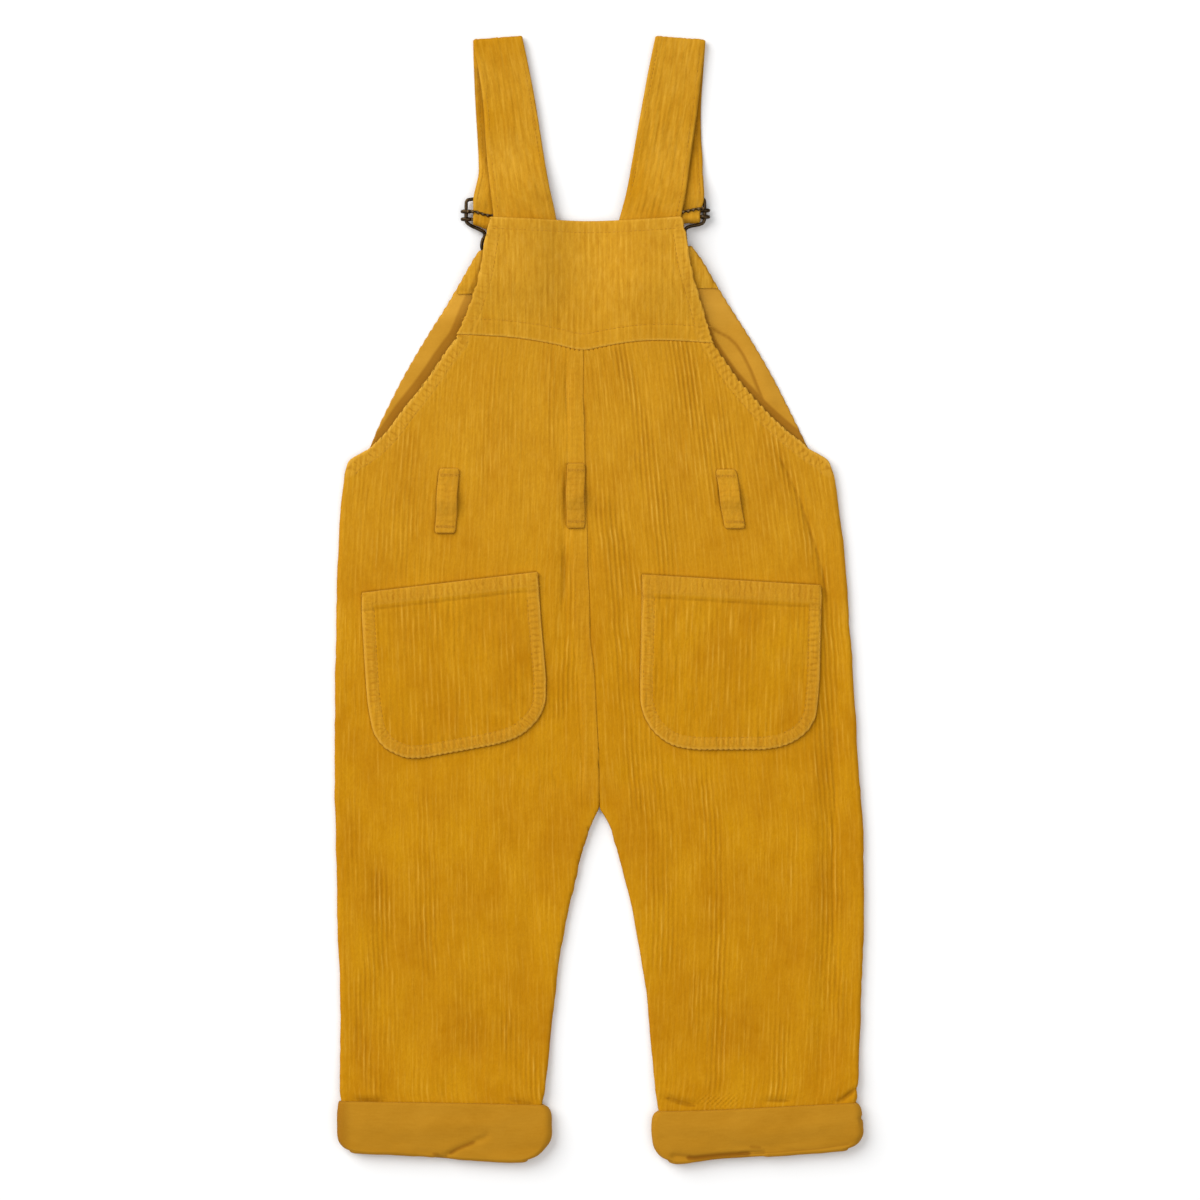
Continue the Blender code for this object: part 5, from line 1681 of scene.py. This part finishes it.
def wire(name, side):
    x, y = CLIP_X[side], CLIP_Y[side]
    half = [(0.0, y), (8.0, y), (CLIP_HALF - 2.2, y), (CLIP_HALF - 0.8, y - 0.45), (CLIP_HALF - 0.1, y - 1.6)]
    half += [(CLIP_HALF, y - 3.2), (CLIP_HALF, y - 8.0), (CLIP_HALF, y - 11.6)]
    half += [(across, y - down) for across, down in NECKS[side]] + [(5.4, y - 38.4), (4.4, y - 41.0)]
    button_y = y - BUTTON_DOWN
    turn = np.radians((10, 30, 50, 70, 90))
    half += [(4.4 * math.cos(t), button_y - 0.4 - 4.4 * math.sin(t)) for t in turn]
    line = [(x + a, b, WIRE_Z) for a, b in half] + [(x - a, b, WIRE_Z) for a, b in reversed(half[1:-1])]
    stations = np.array(line + line[:1])[:, None, :].repeat(3, 1)
    even = through(stations, 0.8)[0]
    metal = Metal()
    metal.rod(even[:-1, 1], WIRE_R, closed=True)
    return metal.finish(name)


# where each toothed bar is bent from and to, and its height at both
BAR_BEND = [(-15.5, -5.0, 0.0, -2.4), (17.0, 3.0, 0.9, -1.3)]


def slide(name, side):
    x, y = CLIP_X[side], CLIP_Y[side]
    low_y, top_y = y - BAR_DOWN[side], y - 7.3
    metal = Metal()
    for leg in (-1, 1):
        leg_x = x + leg * CLIP_HALF
        for place_y in (low_y, top_y):
            metal.oval_bead((leg_x, place_y, WIRE_Z), 3.4, 1.3, 2.4)
        metal.rod([(leg_x, v, WIRE_Z) for v in np.linspace(low_y - 0.8, top_y + 0.8, 9)], 1.2)
    metal.rod([(x + v, low_y, WIRE_Z) for v in np.linspace(-CLIP_HALF, CLIP_HALF, 9)], 1.0)
    inside_it = CLIP_HALF - 0.6
    across = np.linspace(-inside_it, inside_it, 97)
    tooth = np.abs((across / inside_it * 6) % 1 * 2 - 1)
    rings = []
    for v, t in zip(across, tooth):
        start, stop, first, last = BAR_BEND[side]
        bent_y = top_y + first + (last - first) * float(ease(start, stop, v))
        low_edge, high_edge = bent_y - 0.3 - 1.1 * t, bent_y + 0.45 + 0.4 * t
        profile = [(low_edge, 0.15), (low_edge + 0.2, 0.0), (high_edge - 0.2, 0.0), (high_edge, 0.2)]
        profile += [(high_edge, 0.9), (high_edge - 0.25, 1.15), (low_edge + 0.4, 1.0), (low_edge, 0.6)]
        rings.append([(x + v, b, BAR_Z + c) for b, c in profile])
    metal.rings(rings)
    return metal.finish(name)


def button(name, side):
    profile = [(0.05, 0.0), (3.0, 0.02), (5.6, 0.06), (7.0, 0.32), (8.0, 0.8), (8.5, 1.35), (8.3, 1.9)]
    profile += [(7.6, 2.35), (6.6, 2.55), (3.4, 2.6), (2.75, 2.75), (2.6, 3.1), (2.6, 4.9), (2.2, 5.05)]
    x, y = CLIP_X[side], CLIP_Y[side] - BUTTON_DOWN
    metal = Metal()
    metal.rings([[(x + r * c, y + r * s, z) for c, s in circle(48)] for r, z in profile + [(0.05, 5.05)]])
    return metal.finish(name)


for side, word in enumerate(("left", "right")):
    pieces["buckle_frame_" + word] = wire("clip_wire_" + word, side)
    pieces["buckle_slide_" + word] = slide("clip_slide_" + word, side)
    pieces["bib_button_" + word] = button("clip_button_" + word, side)

# %% [markdown]
# ## Riding on the frame
#
# Each piece stands for the solid of the same part, and nothing on a garment is jointed, so all of them ride
# on the one body. The stitches ride along.

CUTS = {  # node: width and length of the cut in metres, its area, how it is held
    "back": (0.172, 0.485, 0.0665, "laid"),
    "front": (0.166, 0.392, 0.0560, "laid"),
    "front_bib": (0.312, 0.146, 0.0310, "laid"),
    "front_bib_facing": (0.160, 0.026, 0.0035, "folded"),
    "back_yoke": (0.153, 0.080, 0.0100, "laid"),
    "pocket": (0.112, 0.106, 0.0100, "laid"),
    "strap": (0.038, 0.300, 0.0085, "folded"),
    "cuff": (0.254, 0.043, 0.0105, "folded"),
    "belt_loop": (0.0116, 0.041, 0.00047, "laid"),
}
for node, piece in pieces.items():
    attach(piece, "root")
    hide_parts(node)
    kind = node if node in CUTS else node.rsplit("_", 1)[0]
    if kind not in CUTS:
        continue
    width, length, area, held = CUTS[kind]
    sewn = [stitches[node]] if node in stitches else []
for sewn in stitches.values():
    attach(sewn, "root")
print(len(pieces), "pieces and", len(stitches), "lots of stitches")

# %% [markdown]
# ## Table, light and camera
#
# The garment lies on a white table under soft light. A large lamp to the upper left stands for a window and
# gives the folds their shape, and a wide one overhead fills the shadows. The camera looks straight down
# from high above with a long lens, so that nothing leans.

# %% Table and lamps
from mathutils import Vector

table = bpy.data.meshes.new("table_top")
table.from_pydata([(x, y, -0.0004) for x, y in ((-3, -3), (3, -3), (3, 3), (-3, 3))], [], [(0, 1, 2, 3)])
white = Finish("pale_table", 0.8, Base_Color=(0.865, 0.865, 0.865, 1))
table.materials.append(white.material)
table_top = placed("table_top", table)
table_top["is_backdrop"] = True


def lamp(name, power, size, at):
    light = bpy.data.lights.new(name, "AREA")
    light.energy, light.size = power, size
    thing = placed(name, light)
    thing.location = at
    thing.rotation_euler = (-Vector(at)).to_track_quat("-Z", "Y").to_euler()


lamp("window", 264, 4.2, (-2.95, 2.25, 3.2))
lamp("ceiling", 28, 2.4, (0.7, -0.3, 2.4))
print([light.name for light in bpy.data.lights])
room = bpy.data.worlds.new("room")
room.use_nodes = True
sky = room.node_tree.nodes["Background"].inputs
sky["Color"].default_value, sky["Strength"].default_value = (1, 1, 1, 1), 0.33
bpy.context.scene.world = room
bpy.context.scene.view_settings.view_transform = "Standard"

# %% Camera
lens = bpy.data.cameras.new("overhead")
lens.sensor_width, lens.lens, lens.clip_end = 36.0, 150.0, 20.0
camera = placed("overhead", lens)
camera.location = (0.42 * MM, 0.0, 3.006)
bpy.context.scene.camera = camera
print("the camera is", camera.location.z, "m up with a lens of", lens.lens, "mm")

# %% The size of what is seen
seen_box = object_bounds()
sizes = {"cad": [list(c) for c in cad_box], "visual": [list(c) for c in seen_box]}
print("visual box in mm", [[round(c / MM, 1) for c in corner] for corner in seen_box])
